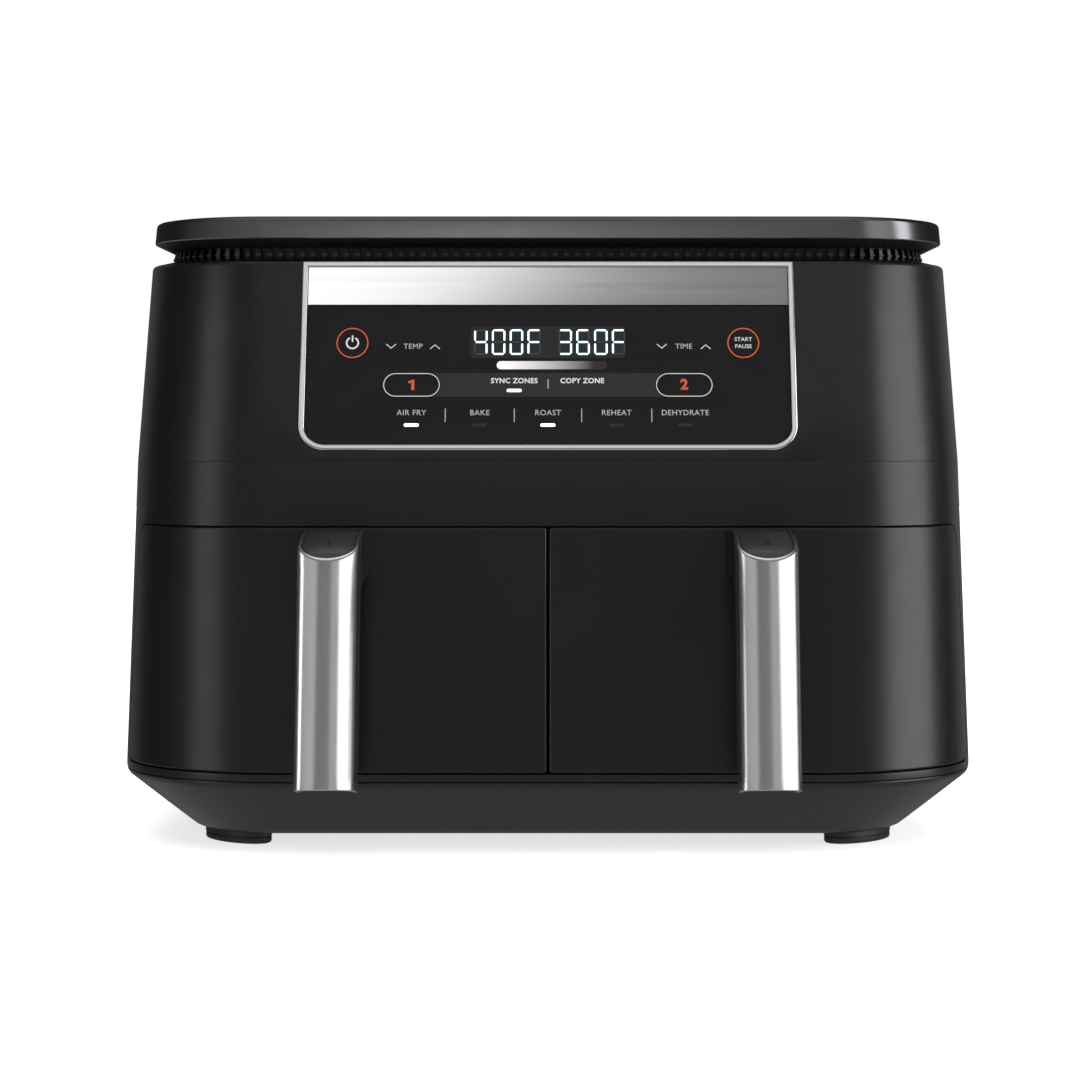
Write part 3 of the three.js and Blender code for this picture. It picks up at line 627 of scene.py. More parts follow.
def blocks(name, places, profile, half):
    """A row of upright blocks: each has the given profile, (deep, z), and half-width."""
    points, faces = [], []
    n = len(profile)
    for place, heading in places:
        inward = Vector((-heading.y, heading.x, 0.0))
        start = len(points)
        for along in (-half, half):
            for deep, z in profile:
                spot = place + heading * along + inward * deep
                points.append((spot.x, spot.y, z))
        for i in range(n):
            a, b = start + i, start + (i + 1) % n
            faces.append((a, b, b + n, a + n))
        faces.append(tuple(start + k for k in reversed(range(n))))
        faces.append(tuple(start + n + k for k in range(n)))
    return mesh_from(name, points, faces)


def build_vent_ring():
    """An inner wall behind a fence of upright fins, each with a small step on its face; wall and fins
    are near-black as painted shade under the lid, and the steps lighter grey as a painted highlight.
    """
    z0, z1, pitch = Z_SHOULDER + 1.3, 290.4, 5.4
    section_steps = [(z0, 14.4), (z1, 14.4), (z1, 15.8), (z0, 15.8)]
    wall = stack("vent_wall", Z_SHOULDER, section_steps, closed=True)
    places = along_ring(body_ring(Z_SHOULDER, 0.0, 10.6), pitch)
    profile = [(0.25, z0), (3.9, z0), (3.9, z1 - 0.8), (0.8, z1 - 0.8), (0.25, z1 - 3.0)]
    fence = joined("vent_fence", [wall, blocks("fins", places, profile, 0.95)])
    # near-black here is painted shade under the lid
    finish_mesh("vent_fence", fence, "vent_painted_shade", ["vent_ring"])
    tread = ((-0.35, 1.75), (-0.1, 1.5), (0.24, 1.5), (0.24, 2.75), (-0.1, 2.75), (-0.35, 2.5))
    steps = blocks("steps", places, [(deep, z0 + rise) for deep, rise in tread], 1.3)
    # the steps' lighter grey is a painted highlight on the same plastic as the fins
    finish_mesh("vent_steps", steps, "vent_painted_highlight", ["vent_ring"])


def build_lid():
    """A glossy plate with a fine rolled edge, on a dish that slopes in under it; the dish's black is
    painted shade under the lid.
    """
    under, z = 289.6 + GAP, Z_LID
    dish = [(under, 60.0), (under, 11.0), (under + 0.2, 10.2), (z - 0.6, 2.4), (z - 0.6, 60.0)]
    mesh = stack("lid_dish", Z_SHOULDER, dish)
    # the dish's black stands for the shade under the lid: painted shade
    finish_mesh("lid_dish", mesh, "matte_black_and_painted_shade", ["top_lid"])
    steps = [(z - 0.55, 60.0), (z - 0.55, 2.2), (z - 0.4, 1.6), (z + 0.05, 1.2), (z + 0.8, 1.2)]
    steps += [(Z_TOP - 3.2 + along, 1.9 + inset) for inset, along in quarter(2.3, 6)]
    steps += [(Z_TOP - 0.45, 7.0), (Z_TOP - 0.1, 12.0), (Z_TOP, 22.0), (Z_TOP, 60.0)]
    finish_mesh("lid", stack("lid", Z_SHOULDER, steps), "lid_grey", ["top_lid"])


def build_feet():
    """Oval rubber feet turned to the corners, each with a sole below a fine step."""
    half, waist = 21.6, 11.4
    steps = [(8.2, 0.0), (3.6, 0.0), (3.3, 0.7), (2.9, 0.7), (2.7, 0.2), (0.9, 0.2)]
    steps += [(0.35, 0.5), (0.0, 1.3)]
    for row, way in (("front", 1), ("back", -1)):
        for side, sign in SIDES.items():
            name = f"foot_{row}_{side}"
            cx, cy, _ = node_middle(name)
            turn = math.radians(45) * sign * way
            c, s = math.cos(turn), math.sin(turn)
            rings = []
            for z, inset in steps:
                oval = [(x * (half - inset), y * (waist - inset)) for x, y in circle(0, 0, 1, 72)]
                rings.append([(cx + x * c - y * s, cy + x * s + y * c, z) for x, y in oval])
            finish_mesh(f"rubber_{name}", loft(name, rings), "rubber", [name])


# ---------- drawers ----------
def drawer_point(s, z, inset):
    """A place on a drawer front: s is the way round from its edge at the middle."""
    half, front, _, radius = section(z)
    flat = half - radius
    x = s + 0.5
    if x <= flat:
        return x, front + inset, z
    angle = (x - flat) / radius
    reach = radius - inset
    return flat + reach * math.sin(angle), front + radius - reach * math.cos(angle), z


def drawer_length(z):
    """The way round a drawer front, from the middle to its wrapped edge."""
    half, _, _, radius = section(z)
    wrap = seam_at(z) - front_at(z) - GAP
    return half - radius - 0.5 + radius * math.acos(1 - wrap / radius)


def rounded_corner(a, b, radius):
    """Pulls a square corner's grid point onto a round one, and gives its way to the edge."""
    if a >= radius or b >= radius:
        return a, b, min(a, b)
    da, db = radius - a, radius - b
    reach = max(da, db)
    size = math.hypot(da, db)
    if size == 0:
        return a, b, radius
    return radius - da * reach / size, radius - db * reach / size, radius - reach


def spaced(edge, count):
    """Places along a length, as a share of it and an offset: close at its ends, even between."""
    middle = [i / count for i in range(1, count)]
    places = [(0.0, e) for e in edge]
    places += [(share, edge[-1] * (1 - 2 * share)) for share in middle]
    return places + [(1.0, -e) for e in reversed(edge)]


def drawer_skin():
    """The right-hand front's skin: a grid over the body's form with a rolled edge."""
    z0, z1 = Z_LIP + 0.4, Z_BAY - 0.4
    roll, deep = 1.3, 3.2
    edge = [inset for inset, _ in quarter(roll, 6)] + [2.0, 3.2, 4.6, 6.0, 7.6, 9.4]
    columns = spaced(edge, 70)
    rows = [z0 + (z1 - z0) * share + offset for share, offset in spaced(edge, 30)]

    def spot(share, offset, z, face):
        length = drawer_length(z)
        s = length * share + offset
        far, top = s >= length / 2, z >= (z0 + z1) / 2
        a, b = length - s if far else s, z1 - z if top else z - z0
        a, b, reach = rounded_corner(a, b, BAY_CORNER - 0.4 if far else 1.6)
        inset = deep
        if face:
            inset = 0.0 if reach >= roll else roll - math.sqrt(roll**2 - (roll - reach) ** 2)
        return drawer_point(length - a if far else a, z1 - b if top else z0 + b, inset)

    points = [spot(*column, z, face) for face in (True, False) for z in rows for column in columns]
    wide, tall = len(columns), len(rows)
    shift = wide * tall
    faces = []
    for j in range(tall - 1):
        for i in range(wide - 1):
            a, d = j * wide + i, (j + 1) * wide + i
            faces.append((a, a + 1, d + 1, d))
            faces.append((a + shift, d + shift, d + 1 + shift, a + 1 + shift))
    rim = [(i, 0) for i in range(wide)] + [(wide - 1, j) for j in range(1, tall)]
    rim += [(i, tall - 1) for i in range(wide - 2, -1, -1)]
    rim += [(0, j) for j in range(tall - 2, 0, -1)]
    numbers = [j * wide + i for i, j in rim]
    for a, b in zip(numbers, numbers[1:] + numbers[:1]):
        faces.append((b, a, a + shift, b + shift))
    return mesh_from("drawer_skin", points, faces)


def drawer_tub():
    """The box behind the skin, back to where the basket hangs."""
    def ring(z, shrink):
        half, front, _, radius = section(z)
        flat, reach = half - radius, radius - 3.1 - shrink
        back = FASCIA_BACK - shrink
        end = math.acos((front + radius - back) / reach)
        points = [(0.9 + shrink, back), (0.9 + shrink, front + 3.1 + shrink)]
        points += [(flat * k / 6, front + 3.1 + shrink) for k in range(1, 6)]
        for k in range(17):
            angle = end * k / 16
            points.append((flat + reach * math.sin(angle), front + radius - reach * math.cos(angle)))
        return [(x, y, z) for x, y in points]

    z0, z1, rim = Z_LIP + 0.7, Z_BAY - 0.7, 0.8
    steps = [(z0 + rim - along, inset) for inset, along in reversed(quarter(rim, 4))]
    steps += [(z, 0.0) for z in (70.0, 100.0, 130.0)]
    steps += [(z1 - rim + along, inset) for inset, along in quarter(rim, 4)]
    return loft("drawer_tub", [ring(z, shrink) for z, shrink in steps])


def basket_ring(z, grow, radius_cut=0.0):
    """The basket's plan at one height, grown all round."""
    share = min(max((z - BASKET_FLOOR) / (BASKET_RIM - BASKET_FLOOR), 0.0), 1.0)
    half, front, back = (foot + flare * share for foot, flare in BASKET_PLAN)
    sides = (BAY_X - half - grow, BAY_X + half + grow, front - grow, back + grow)
    radius = BASKET_CORNER + grow - radius_cut
    return plan(*sides, radius, radius, z, count=14, flat=5)


def basket_mesh():
    """A drawn nonstick basket: round bottom edge and a rolled flange at its rim."""
    floor, rim, sheet, bend = BASKET_FLOOR, BASKET_RIM, 1.5, 9.0
    centre = (-60.0, -40.0)  # the small ring that closes the floor
    rings = [basket_ring(floor, *centre), basket_ring(floor, -bend - 4.0)]
    rings += [basket_ring(floor + bend - along, -inset) for inset, along in reversed(quarter(bend, 7))]
    rings += [basket_ring(z, 0.0) for z in (80.0, 115.0, rim - 3.2)]
    half, front, back = (foot + flare for foot, flare in BASKET_PLAN)
    for down, grow in ((2.2, 0.5), (1.8, 1.4), (1.8, 4.3), (1.3, 4.9), (0.6, 5.0), (0.0, 4.4)):
        sides = (BAY_X - half - grow, BAY_X + half + grow, front, back + grow)
        rings.append(plan(*sides, BASKET_CORNER, BASKET_CORNER + grow, rim - down, count=14, flat=5))
    inside = ((0.0, -0.4), (0.4, -1.1), (1.4, -sheet))
    rings += [basket_ring(rim - down, grow) for down, grow in inside]
    rings += [basket_ring(z, -sheet) for z in (115.0, 80.0)]
    for inset, along in quarter(bend - sheet, 7):
        rings.append(basket_ring(floor + bend - along, -sheet - inset))
    rings += [basket_ring(floor + sheet, -bend - 4.0), basket_ring(floor + sheet, *centre)]
    return loft("basket", rings)


def crisper_mesh():
    """A pressed plate with rows of slots, a finger hole and a turned-down rim."""
    half_x, half_y, middle, corner, top_level = 74.4, 103.0, 20.0, 24.0, 56.0
    pitch_x, pitch_y, slot_half, slot_radius, finger_hole = 27.0, 20.0, 6.4, 2.4, 13.0
    loops = [bar(BAY_X, middle, 2 * half_x, 2 * half_y, corner, 12)]
    for row in range(-4, 5):
        for column in range(-2, 3):
            if abs(row) > 1 or column:
                x, y = BAY_X + column * pitch_x, middle + row * pitch_y
                loops.append(stadium(x, y, slot_half, slot_radius, 8))
    loops.append(circle(BAY_X, middle, finger_hole, 36))
    top = plate_mesh("crisper_top", loops, 1.5, 0.35, 2)
    top.transform(Matrix.Translation((0, 0, top_level * MM)))
    rings = []
    for inset, levels in ((0.1, (46.2, 55.2)), (2.0, (55.2, 46.2))):
        wide, tall = 2 * (half_x - inset), 2 * (half_y - inset)
        loop = bar(BAY_X, middle, wide, tall, corner - inset, 12)
        rings += [[(x, y, z) for x, y in loop] for z in levels]
    skirt = loft("crisper_skirt", rings, closed=True)
    return joined("crisper", [top, skirt])


def handle_matrix(side):
    """Takes (across, outwards, up) on the drawer's tilted face to where the handle is."""
    c, s = math.cos(LOWER_TILT), math.sin(LOWER_TILT)
    y, z = front_at(HANDLE_TOP), HANDLE_TOP
    return Matrix(
        ((1, 0, 0, side * HANDLE_X * MM), (0, c, s, y * MM), (0, -s, c, z * MM), (0, 0, 0, 1))
    )


def grip_loop(inset, back, sides=5):
    """Half of a grip's section from its right back edge round the nose to its left one."""
    half, shoulder, count = HANDLE_HALF - inset, HANDLE_NOSE - HANDLE_REACH, 28
    loop = [(half, back + (shoulder - back) * k / sides) for k in range(sides)]
    for x, y in arc(0, 0, 1, 0, -180, count):
        loop.append((half * x, shoulder + (HANDLE_NOSE - inset) * y))
    return loop + [(-half, shoulder + (back - shoulder) * (k + 1) / sides) for k in range(sides)]


def top_at(y):
    """Height of the handle's top, which curls down towards the nose."""
    return HANDLE_LEAN * y + HANDLE_CURL * y**3


def under_top(loop, drop):
    """Lifts a flat loop to the handle's curved top, less a drop."""
    return [(x, y, top_at(y) - drop) for x, y in loop]


def sheet_solid(name, section_at, bottom):
    """A bent sheet between a level foot and the sloping top, with rolled ends."""
    foot_roll, roll = 0.45, 1.05
    ends = quarter(roll, 6)
    rings = []
    for inset, along in reversed(quarter(foot_roll, 4)):
        rings.append([(x, y, bottom + foot_roll - along) for x, y in section_at(inset)])
    low, high = rings[-1], under_top(section_at(0.0), roll)
    for k in range(1, 16):
        rings.append([tuple(Vector(a).lerp(Vector(b), k / 16)) for a, b in zip(low, high)])
    for inset, along in ends:
        rings.append(under_top(section_at(inset), roll - along))
    return loft(name, rings)


def handle_cover_mesh():
    """The polished cover: a bent sheet round the grip, and a wing each side of the neck."""
    back, sheet = -22.0, 2.3

    def bend(inset):
        return grip_loop(inset, back) + grip_loop(sheet - inset, back)[::-1]

    def wing(inset):
        outside, inside = HANDLE_HALF - inset, HANDLE_HALF - sheet + inset
        depths = [-1.0 + (back + 1.0) * k / 6 for k in range(7)]
        return [(outside, y) for y in depths] + [(inside, y) for y in reversed(depths)]

    right = sheet_solid("wing", wing, -WING_DEPTH)
    bent = sheet_solid("bend", bend, -HANDLE_LENGTH)
    return joined("handle_cover", [bent, right, mirrored(right)])


def handle_cap_mesh():
    """The curved top: it fills the cover's mouth and runs back between its wings."""
    loop = grip_loop(2.45, -0.7, sides=9)
    rings = []
    for inset, drop in ((0.0, 2.6), (0.0, 0.95), (0.12, 0.65), (0.4, 0.5)):
        shrink = 1 - inset / HANDLE_HALF
        rings.append(under_top([(x * shrink, y) for x, y in loop], drop))
    return loft("handle_cap", rings, curved_cap=True)


def handle_number_mesh(words):
    """A number lying on the handle's curved top."""
    mesh = words_mesh(words, 6.6, 0.0, 0.0, 0.12)
    y = 16.5 - HANDLE_REACH
    lean = math.atan(HANDLE_LEAN + 3 * HANDLE_CURL * y * y)
    place = Matrix.Translation((0.0, y * MM, (top_at(y) - 0.5) * MM))
    mesh.transform(place @ Matrix.Rotation(lean, 4, "X"))
    return mesh


def build_drawers():
    """Both drawers; the left-hand one's pieces mirror the right-hand one's."""
    skin = joined("drawer_front", [drawer_skin(), drawer_tub()])
    for side, sign in SIDES.items():
        body = f"drawer_{side}"
        pieces = (
            ("front", skin, "satin_black", "drawer_front", body),
            ("nonstick_basket", basket_mesh(), "nonstick", "basket", body),
            ("slotted_plate", crisper_mesh(), "nonstick", "crisper_plate", f"crisper_{side}"),
        )
        for name, mesh, look, node, carrier in pieces:
            own = mesh.copy() if sign > 0 else mirrored(mesh)
            finish_mesh(f"{name}_{side}", own, look, [f"{node}_{side}"], carrier)
        grip = (
            ("steel_cover", handle_cover_mesh(), "brushed_steel", "handle_cover"),
            ("grip_cap", handle_cap_mesh(), "handle_grey", "handle_cap"),
        )
        place = handle_matrix(sign)
        for name, mesh, look, node in grip:
            mesh.transform(place)
            finish_mesh(f"{name}_{side}", mesh, look, [f"{node}_{side}"], body)
        number = handle_number_mesh("2" if sign > 0 else "1")
        number.transform(place)
        finish_mesh(f"grip_number_{side}", number, "matte_black_and_painted_shade", (), body)


# ---------- control panel ----------
def on_panel(name, mesh, material, out, nodes=(), body="housing"):
    """Puts a mesh made flat onto the panel, so far out from its face."""
    mesh.transform(panel_matrix(out))
    finish_mesh(name, mesh, material, nodes, body)


def build_bezel():
    """A bright frame with a crowned face."""
    half, deep, side, crown = BEZEL / 2, 3.0, 0.25, 0.55
    steps = [(0.0, -deep), (0.0, side)]
    for k in range(1, 10):
        angle = math.pi * k / 10
        steps.append((half - half * math.cos(angle), side + crown * math.sin(angle)))
    steps += [(BEZEL, side), (BEZEL, -deep)]
    rings = [[(x, y, out) for x, y in panel_loop(-inset)] for inset, out in steps]
    mesh = loft("bezel", rings, closed=True)
    on_panel("bright_frame", mesh, "chrome", 0.0, ["panel_bezel"])


KEYS = {  # middle, half of the straight part and radius of each key
    "power": (-94.4, 59.7, 0.0, 7.95),
    "start": (94.4, 59.7, 0.0, 7.95),
    "zone_1": (-65.6, 38.4, 7.65, 6.1),
    "zone_2": (65.6, 38.4, 7.65, 6.1),
}
DISPLAY = (0.0, 60.2, 74.6, 16.4)  # middle, width and height


def build_lens():
    """The black sheet with its holes, the window in it and the silver strip above it."""
    half, low = PANEL_HALF - BEZEL - GAP, PANEL_BOTTOM + BEZEL + GAP
    loops = [round_below(half, low, STRIP_BOTTOM - GAP, PANEL_CORNER - BEZEL, 12)]
    loops += [stadium(x, y, flat, radius + 0.25) for x, y, flat, radius in KEYS.values()]
    x, y, width, height = DISPLAY
    loops.append(bar(x, y, width + 0.4, height + 0.4, 1.2))
    lens = plate_mesh("lens", loops, 2.0, 0.18)
    on_panel("black_glass", lens, "gloss_black", -0.2, ["panel_lens"])
    window = plate_mesh("display", [bar(*DISPLAY, 1.0)], 2.4, 0.15)
    on_panel("readout_window", window, "display_glass", -0.2, ["display_window"])
    y0, y1 = STRIP_BOTTOM + 0.2, PANEL_TOP - BEZEL - 0.15
    strip = plate_mesh("strip", [bar(0.0, (y0 + y1) / 2, 2 * half, y1 - y0)], 1.4, 0.2)
    on_panel("silver_strip", strip, "strip_steel", -0.05, ["steel_strip"])


def build_keys():
    """Keys with a printed ring each, and a sign, a word or a number inside it."""
    face = -0.12
    for name, (x, y, flat, radius) in KEYS.items():
        body, is_round = f"{name}_button", flat == 0
        cap = plate_mesh(name, [stadium(x, y, flat, radius)], 3.0, 0.22)
        on_panel(f"{name}_cap", cap, "gloss_black", face, [f"{name}_key"], body)
        width, look = (0.62, "print_orange") if is_round else (0.36, "print_white")
        ring = [stadium(x, y, flat, radius - inset) for inset in (0.2, 0.2 + width)]
        on_panel(f"{name}_outline", plate_mesh(name, ring, 0.12), look, face + 0.05, (), body)
    signs = {
        "power": (power_sign(), "print_white"),
        "start": (start_sign(), "print_white"),
        "zone_1": (plate_mesh("one", [figure_one(*KEYS["zone_1"][:2])], 0.1), "print_orange"),
        "zone_2": (words_mesh("2", 5.0, *KEYS["zone_2"][:2], 0.3), "print_orange"),
    }
    for name, (mesh, look) in signs.items():
        on_panel(f"{name}_sign", mesh, look, face + 0.05, (), f"{name}_button")


def figure_one(x, y):
    """A plain bold 1 with a flag."""
    return [
        (x - 0.1, y - 2.6), (x + 1.4, y - 2.6), (x + 1.4, y + 2.6), (x + 0.2, y + 2.6),
        (x - 1.7, y + 1.7), (x - 1.3, y + 0.7), (x - 0.1, y + 1.15),
    ]


def power_sign():
    """A broken ring with a stroke through its gap."""
    x, y, radius, width, half_gap = *KEYS["power"][:2], 3.2, 0.8, 28
    outer, inner = [
        arc(x, y, r, 90 + half_gap, 360 - 2 * half_gap, 40) for r in (radius, radius - width)
    ]
    ring = plate_mesh("ring", [outer + inner[::-1]], 0.1)
    stroke = plate_mesh("stroke", [bar(x, y + 2.2, width, 3.4, width / 2.2)], 0.1)
    return joined("power_sign", [ring, stroke])


def start_sign():
    """Plain words, one above the other."""
    x, y = KEYS["start"][:2]
    lines = (("START", 1.8), ("PAUSE", -1.8))
    return joined("start_sign", [words_mesh(word, 1.95, x, y + dy, 0.02) for word, dy in lines])


SEGMENTS = {"0": "abcdef", "3": "abgcd", "4": "fgbc", "6": "afgedc", "F": "afge"}


def segment_loop(letter, x, y, width, height, stroke):
    """One bar of a seven-bar digit whose lower left corner is at (x, y)."""
    half, gap, slant, thick = height / 2, 0.24, stroke * 0.45, stroke / 2
    flat = {"a": y + height - thick, "g": y + half, "d": y + thick}
    if letter in flat:
        level = flat[letter]
        left, right = x + gap + slant, x + width - gap - slant
        return [
            (left, level), (left + slant, level - thick), (right - slant, level - thick),
            (right, level), (right - slant, level + thick), (left + slant, level + thick),
        ]
    column = x + thick if letter in "fe" else x + width - thick
    low = y + (half if letter in "fb" else 0.0) + gap + slant
    high = y + (height if letter in "fb" else half) - gap - slant
    return [
        (column, low), (column + thick, low + slant), (column + thick, high - slant),
        (column, high), (column - thick, high - slant), (column - thick, low + slant),
    ]


def build_readouts():
    """Two four-place readouts, lit and unlit bars on a faint glow."""
    width, height, stroke, pitch, base, glow = 6.4, 12.9, 0.82, 8.6, 53.7, 0.4
    lit, unlit, halo = [], [], []
    for text, left in (("400F", -35.6), ("360F", 5.2)):
        for place, letter in enumerate(text):
            x = left + place * pitch
            for name in "abcdefg":
                shape = segment_loop(name, x, base, width, height, stroke)
                on = name in SEGMENTS[letter]
                (lit if on else unlit).append(plate_mesh("bar", [shape], 0.08))
                if on:
                    sizes = (size + 2 * glow for size in (width, height, stroke))
                    wide = segment_loop(name, x - glow, base - glow, *sizes)
                    halo.append(plate_mesh("halo", [wide], 0.03))
    on_panel("digits_glow", joined("halo", halo), "digit_halo", -0.17)
    on_panel("digits_unlit", joined("unlit", unlit), "digit_unlit", -0.14)
    on_panel("digits_lit", joined("lit", lit), "digit_lit", -0.1)


def chevron(x, y, up):
    """A thin open arrow, pointing up or down."""
    wide, tall, stroke = 2.5, 1.1, 0.36
    inner, foot = wide - stroke * 0.75, -tall - stroke * 0.75
    shape = [(-wide, -tall), (0.0, tall), (wide, -tall)]
    shape += [(inner, foot), (0.0, tall - stroke * 1.4), (-inner, foot)]
    return [(x + px, y + py if up else y - py) for px, py in shape]


def marks(loops, thickness=0.1):
    """Thin flat prints, one from each loop."""
    return [plate_mesh("mark", [loop], thickness) for loop in loops]


MODES = {-65.4: "AIR FRY", -32.7: "BAKE", 0.0: "ROAST", 32.9: "REHEAT", 65.8: "DEHYDRATE"}
LINKS = {-16.2: "SYNC ZONES", 16.5: "COPY ZONE"}
DIALS = {-65.1: "TEMP", 65.6: "TIME"}
MODE_LAMP, LINK_LAMP = 18.2, 35.6  # heights up the panel
DIAL_LEVEL, BAND_LEVEL = 57.9, 38.4
BAND_HALF, BAND_END = 6.0, 56.4


def build_prints():
    """Everything printed on the glass: plain words, rules, arrows and marks."""
    face = -0.15
    ends = [band_shoulder(*KEYS[name], side) for name, side in (("zone_1", 1), ("zone_2", -1))]
    band = marks([bar(0.0, BAND_LEVEL, 2 * BAND_END + 0.2, 2 * BAND_HALF), *ends], 0.06)
    grey_print = [words_mesh(word, 2.6, x, DIAL_LEVEL) for x, word in DIALS.items()]
    arrows = [(x + dx, DIAL_LEVEL, dx > 0) for x in DIALS for dx in (-10.6, 10.6)]
    white = marks([chevron(*arrow) for arrow in arrows])
    white += [words_mesh(word, 2.5, x, 40.4, 0.09) for x, word in LINKS.items()]
    grey_print += [words_mesh(word, 2.7, x, 24.3) for x, word in MODES.items()]
    grey_print += marks([bar(0.1, 38.9, 0.45, 4.8)])
    grey_print += marks([bar(x, 23.1, 0.4, 6.8) for x in (-49.2, -16.1, 16.2, 49.8)])
    lit = [(-65.4, MODE_LAMP), (0.0, MODE_LAMP), (-16.2, LINK_LAMP)]
    dark = [(-32.7, MODE_LAMP), (32.9, MODE_LAMP), (65.8, MODE_LAMP), (16.5, LINK_LAMP)]
    # the silver pill, whose material paints a highlight fading from bright to dark along it
    pill = marks([stadium(1.9, 48.4, 24.5, 2.05)], 0.08)
    for name, shapes, look, out in (
        ("print_band", band, "print_band", face - 0.02),
        ("print_white", white, "print_white", face + 0.02),
        ("print_grey", grey_print, "print_grey", face + 0.02),
        ("print_marks", marks([bar(*spot, 7.2, 1.5, 0.7) for spot in dark]), "print_faint", face + 0.02),
        ("print_lamps", marks([bar(*spot, 7.2, 1.6, 0.75) for spot in lit]), "lamp_white", face + 0.02),
        ("print_pill", pill, "print_silver_painted_highlight", face),
    ):
        on_panel(name, joined(name, shapes), look, out)


def band_shoulder(x, y, flat, radius, side):
    """Fills between a zone key's round end and the band, clear of the key's hole."""
    loop = []
    for px, py in arc(0.0, 0.0, radius + 0.35, -80, 160, 16):
        loop.append((x + side * (flat + px), y + min(max(py, -BAND_HALF), BAND_HALF)))
    return loop + [(-side * BAND_END, y + BAND_HALF), (-side * BAND_END, y - BAND_HALF)]


# ---------- cad nodes that keep their own mesh ----------
KEPT = {
    "rubber": ["cord_gland"],
    "dark_plastic": ["bay_frame", "panel_carrier", "chassis_deck"],
    "board": ["display_board", "power_board"],
}
KEPT_PAIRS = {
    "dark_plastic": ["drawer_back_plate", "handle_core", "cooling_fan", "drawer_switch"],
    "matte_black_and_painted_shade": ["exhaust_grille"],
    "liner": ["chamber_liner", "heater_guard", "motor", "motor_bracket", "exhaust_duct"],
    "heater": ["heater_coil"],
    "fan": ["hot_air_fan", "motor_shaft"],
}
SOFT_EDGES = {
    "handle_core_left": 0.4, "handle_core_right": 0.4,
    "exhaust_grille_left": 0.4, "exhaust_grille_right": 0.4,
    "drawer_back_plate_left": 0.5, "drawer_back_plate_right": 0.5, "bay_frame": 0.4,
}


def dress_kept_nodes():
    """Gives the nodes that keep their mesh a material, and some of them soft edges."""
    looks = {node: look for look, nodes in KEPT.items() for node in nodes}
    for look, stems in KEPT_PAIRS.items():
        for stem in stems:
            for side in SIDES:
                looks[f"{stem}_{side}"] = look
    for node, look in looks.items():
        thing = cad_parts[node]
        for slot in thing.material_slots:
            slot.link = "OBJECT"
            slot.material = MATERIALS[look]
        if node in SOFT_EDGES:
            bevel = thing.modifiers.new("soft_edges", "BEVEL")
            bevel.width = SOFT_EDGES[node] * MM
            bevel.segments = 3
            bevel.limit_method = "ANGLE"
            bevel.angle_limit = math.radians(40)


# ---------- stage ----------
def aim_light(light, pieces, state):
    """Keeps a light to the named pieces (INCLUDE), or off them (EXCLUDE)."""
    receivers = bpy.data.collections.new(light.name + "_receivers")
    for name in pieces:
        receivers.objects.link(bpy.data.objects[name])
    for entry in receivers.collection_objects:
        entry.light_linking.link_state = state
    light.light_linking.receiver_collection = receivers


def area_light(name, place, aim, width, height, radiance):
    """A soft box whose face has the given brightness, whatever its size."""
    lamp = bpy.data.lights.new(name, "AREA")
    lamp.shape = "RECTANGLE"
    lamp.size, lamp.size_y = width, height
    lamp.energy = radiance * math.pi * width * height
    holder = add_object(name, lamp)
    holder.location = place
    holder.rotation_euler = (Vector(aim) - Vector(place)).to_track_quat("-Z", "Y").to_euler()
    return holder


def around(angle, distance, height):
    """A place at an angle from straight ahead of the object, positive to its right."""
    turn = math.radians(angle)
    return distance * math.sin(turn), -distance * math.cos(turn), height


def build_floor():
    """A white floor with a light of its own, so that the object's gloss stays dark."""
    half = 6.0
    corners = [(-half, -half, 0), (half, -half, 0), (half, half, 0), (-half, half, 0)]
    mesh = bpy.data.meshes.new("floor")
    mesh.from_pydata(corners, [], [(0, 1, 2, 3)])
    material, _, shader = new_material("floor_white", grey(0.85), 0.9, specular=0.0)
    shader.inputs["Emission Color"].default_value = (1.0, 1.0, 1.0, 1.0)
    shader.inputs["Emission Strength"].default_value = 0.72
    mesh.materials.append(material)
    floor = add_object("floor", mesh)
    floor.visible_glossy = False

    sun = bpy.data.lights.new("floor_light", "SUN")
    sun.energy = 2.0
    sun.angle = math.radians(80)
    aim_light(add_object("floor_light", sun), ["floor"], "INCLUDE")


def build_world():
    """White where it is seen; in the gloss a dim room, darker behind, paler above and below."""
    world = bpy.data.worlds.new("studio")
    world.use_nodes = True
    tree = world.node_tree
    seen = tree.nodes["Background"]
    seen.inputs["Color"].default_value = (1.0, 1.0, 1.0, 1.0)
    place, split = new_node(tree, "TexCoord"), new_node(tree, "SeparateXYZ")
    tree.links.new(place.outputs["Generated"], split.inputs["Vector"])
    room = new_node(tree, "Background")
    total = room.inputs["Strength"]
    for axis, *ramp in (
        # from and to along an axis, and the brightness there
        ("Y", -1.0, 0.2, 0.3, 0.04),
        ("Z", -0.12, -0.5, 0.0, 0.36),
        ("Z", 0.72, 1.0, 0.0, 0.4),
    ):
        both = new_node(tree, "Math")
        tree.links.new(ramp_between(tree, split.outputs[axis], *ramp), both.inputs[0])
        both.inputs[1].default_value = 0.0
        tree.links.new(both.outputs["Value"], total)
        total = both.inputs[1]
    path, mix = new_node(tree, "LightPath"), new_node(tree, "MixShader")
    tree.links.new(path.outputs["Is Camera Ray"], mix.inputs["Fac"])
    tree.links.new(room.outputs["Background"], mix.inputs[1])
    tree.links.new(seen.outputs["Background"], mix.inputs[2])
    tree.links.new(mix.outputs["Shader"], tree.nodes["World Output"].inputs["Surface"])
    bpy.context.scene.world = world


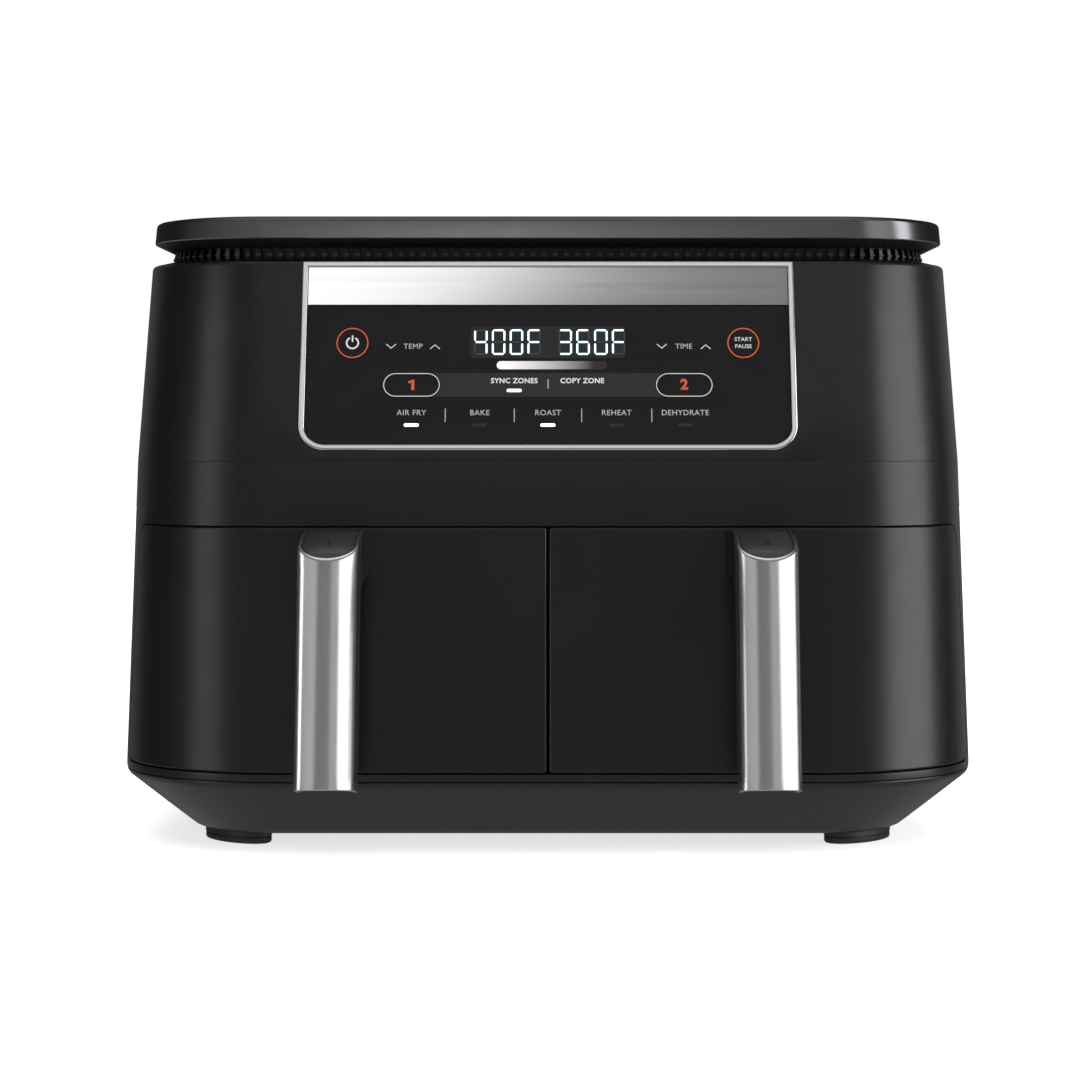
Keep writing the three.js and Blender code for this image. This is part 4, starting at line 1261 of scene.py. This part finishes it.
def build_stage():
    """Floor, world and soft boxes; some boxes serve only the metal, and some spare it."""
    build_floor()
    build_world()
    bpy.context.scene.view_settings.view_transform = "Standard"
    middle = (0.0, -0.05, 0.17)
    covers = ["steel_cover_left", "steel_cover_right"]
    metal = covers + ["lid", "silver_strip", "bright_frame"]
    glass = ["black_glass", "readout_window", "print_band"] + [f"{key}_cap" for key in KEYS]
    not_these = covers + ["lid"]
    boxes = (
        # name, angle, distance, height, width, length, brightness, pieces, INCLUDE or EXCLUDE
        ("right_box", 72, 1.5, 0.45, 1.02, 1.5, 3.0, not_these, "EXCLUDE"),
        ("left_box", -56, 1.5, 0.45, 0.5, 1.5, 1.25, not_these, "EXCLUDE"),
        ("right_rim", 137, 1.5, 0.45, 0.9, 1.5, 0.22, not_these, "EXCLUDE"),
        ("left_rim", -137, 1.5, 0.45, 0.9, 1.5, 0.13, not_these, "EXCLUDE"),
        ("front_high", 14, 2.0, 1.9, 2.2, 1.0, 0.42, metal + glass, "EXCLUDE"),
        ("lid_front", -2, 1.9, 0.45, 0.24, 0.8, 0.7, ["lid"], "INCLUDE"),
        ("lid_right", 80, 1.5, 0.45, 0.4, 1.2, 2.4, ["lid"], "INCLUDE"),
        ("lid_right_fill", 54, 1.5, 0.45, 0.6, 1.2, 0.5, ["lid"], "INCLUDE"),
        ("cover_left", -95, 1.4, 0.4, 0.34, 1.4, 2.6, covers, "INCLUDE"),
        ("cover_left_fill", -58, 1.5, 0.4, 1.3, 1.4, 0.36, covers, "INCLUDE"),
        ("cover_right", 69, 1.4, 0.4, 1.85, 1.4, 1.7, covers, "INCLUDE"),
        ("cover_right_fill", 18, 1.5, 0.4, 0.5, 1.4, 0.25, covers, "INCLUDE"),
        ("trim_front", 0, 2.0, 1.7, 2.6, 1.6, 0.62, ["bright_frame"], "INCLUDE"),
    )
    for name, angle, distance, height, width, length, brightness, pieces, state in boxes:
        light = area_light(name, around(angle, distance, height), middle, width, length, brightness)
        aim_light(light, pieces, state)
    hood = area_light("hood", (-0.55, -1.6, 1.34), (0.0, -0.1, 0.24), 0.86, 1.7, 1.6)
    aim_light(hood, ["silver_strip"], "INCLUDE")
    overhead = area_light("overhead", (0.0, 0.15, 1.7), (0.0, 0.05, 0.2), 1.3, 0.8, 0.9)
    aim_light(overhead, ["lid"], "EXCLUDE")


def build_camera():
    """Level and straight on, shifted to frame the object."""
    data = bpy.data.cameras.new("camera")
    data.lens = 90.2
    data.sensor_width = 36.0
    data.shift_x = -0.0073
    data.shift_y = -0.0986
    data.clip_start = 0.01
    camera = add_object("camera", data)
    camera.location = (0.0, -1.3914, 0.1981)
    camera.rotation_euler = (math.radians(90), 0.0, 0.0)
    bpy.context.scene.camera = camera


build_camera()
build_base()
build_lower_shell()
build_upper_shell()
build_vent_ring()
build_lid()
build_feet()
build_drawers()
build_bezel()
build_lens()
build_keys()
build_readouts()
build_prints()
dress_kept_nodes()
build_stage()
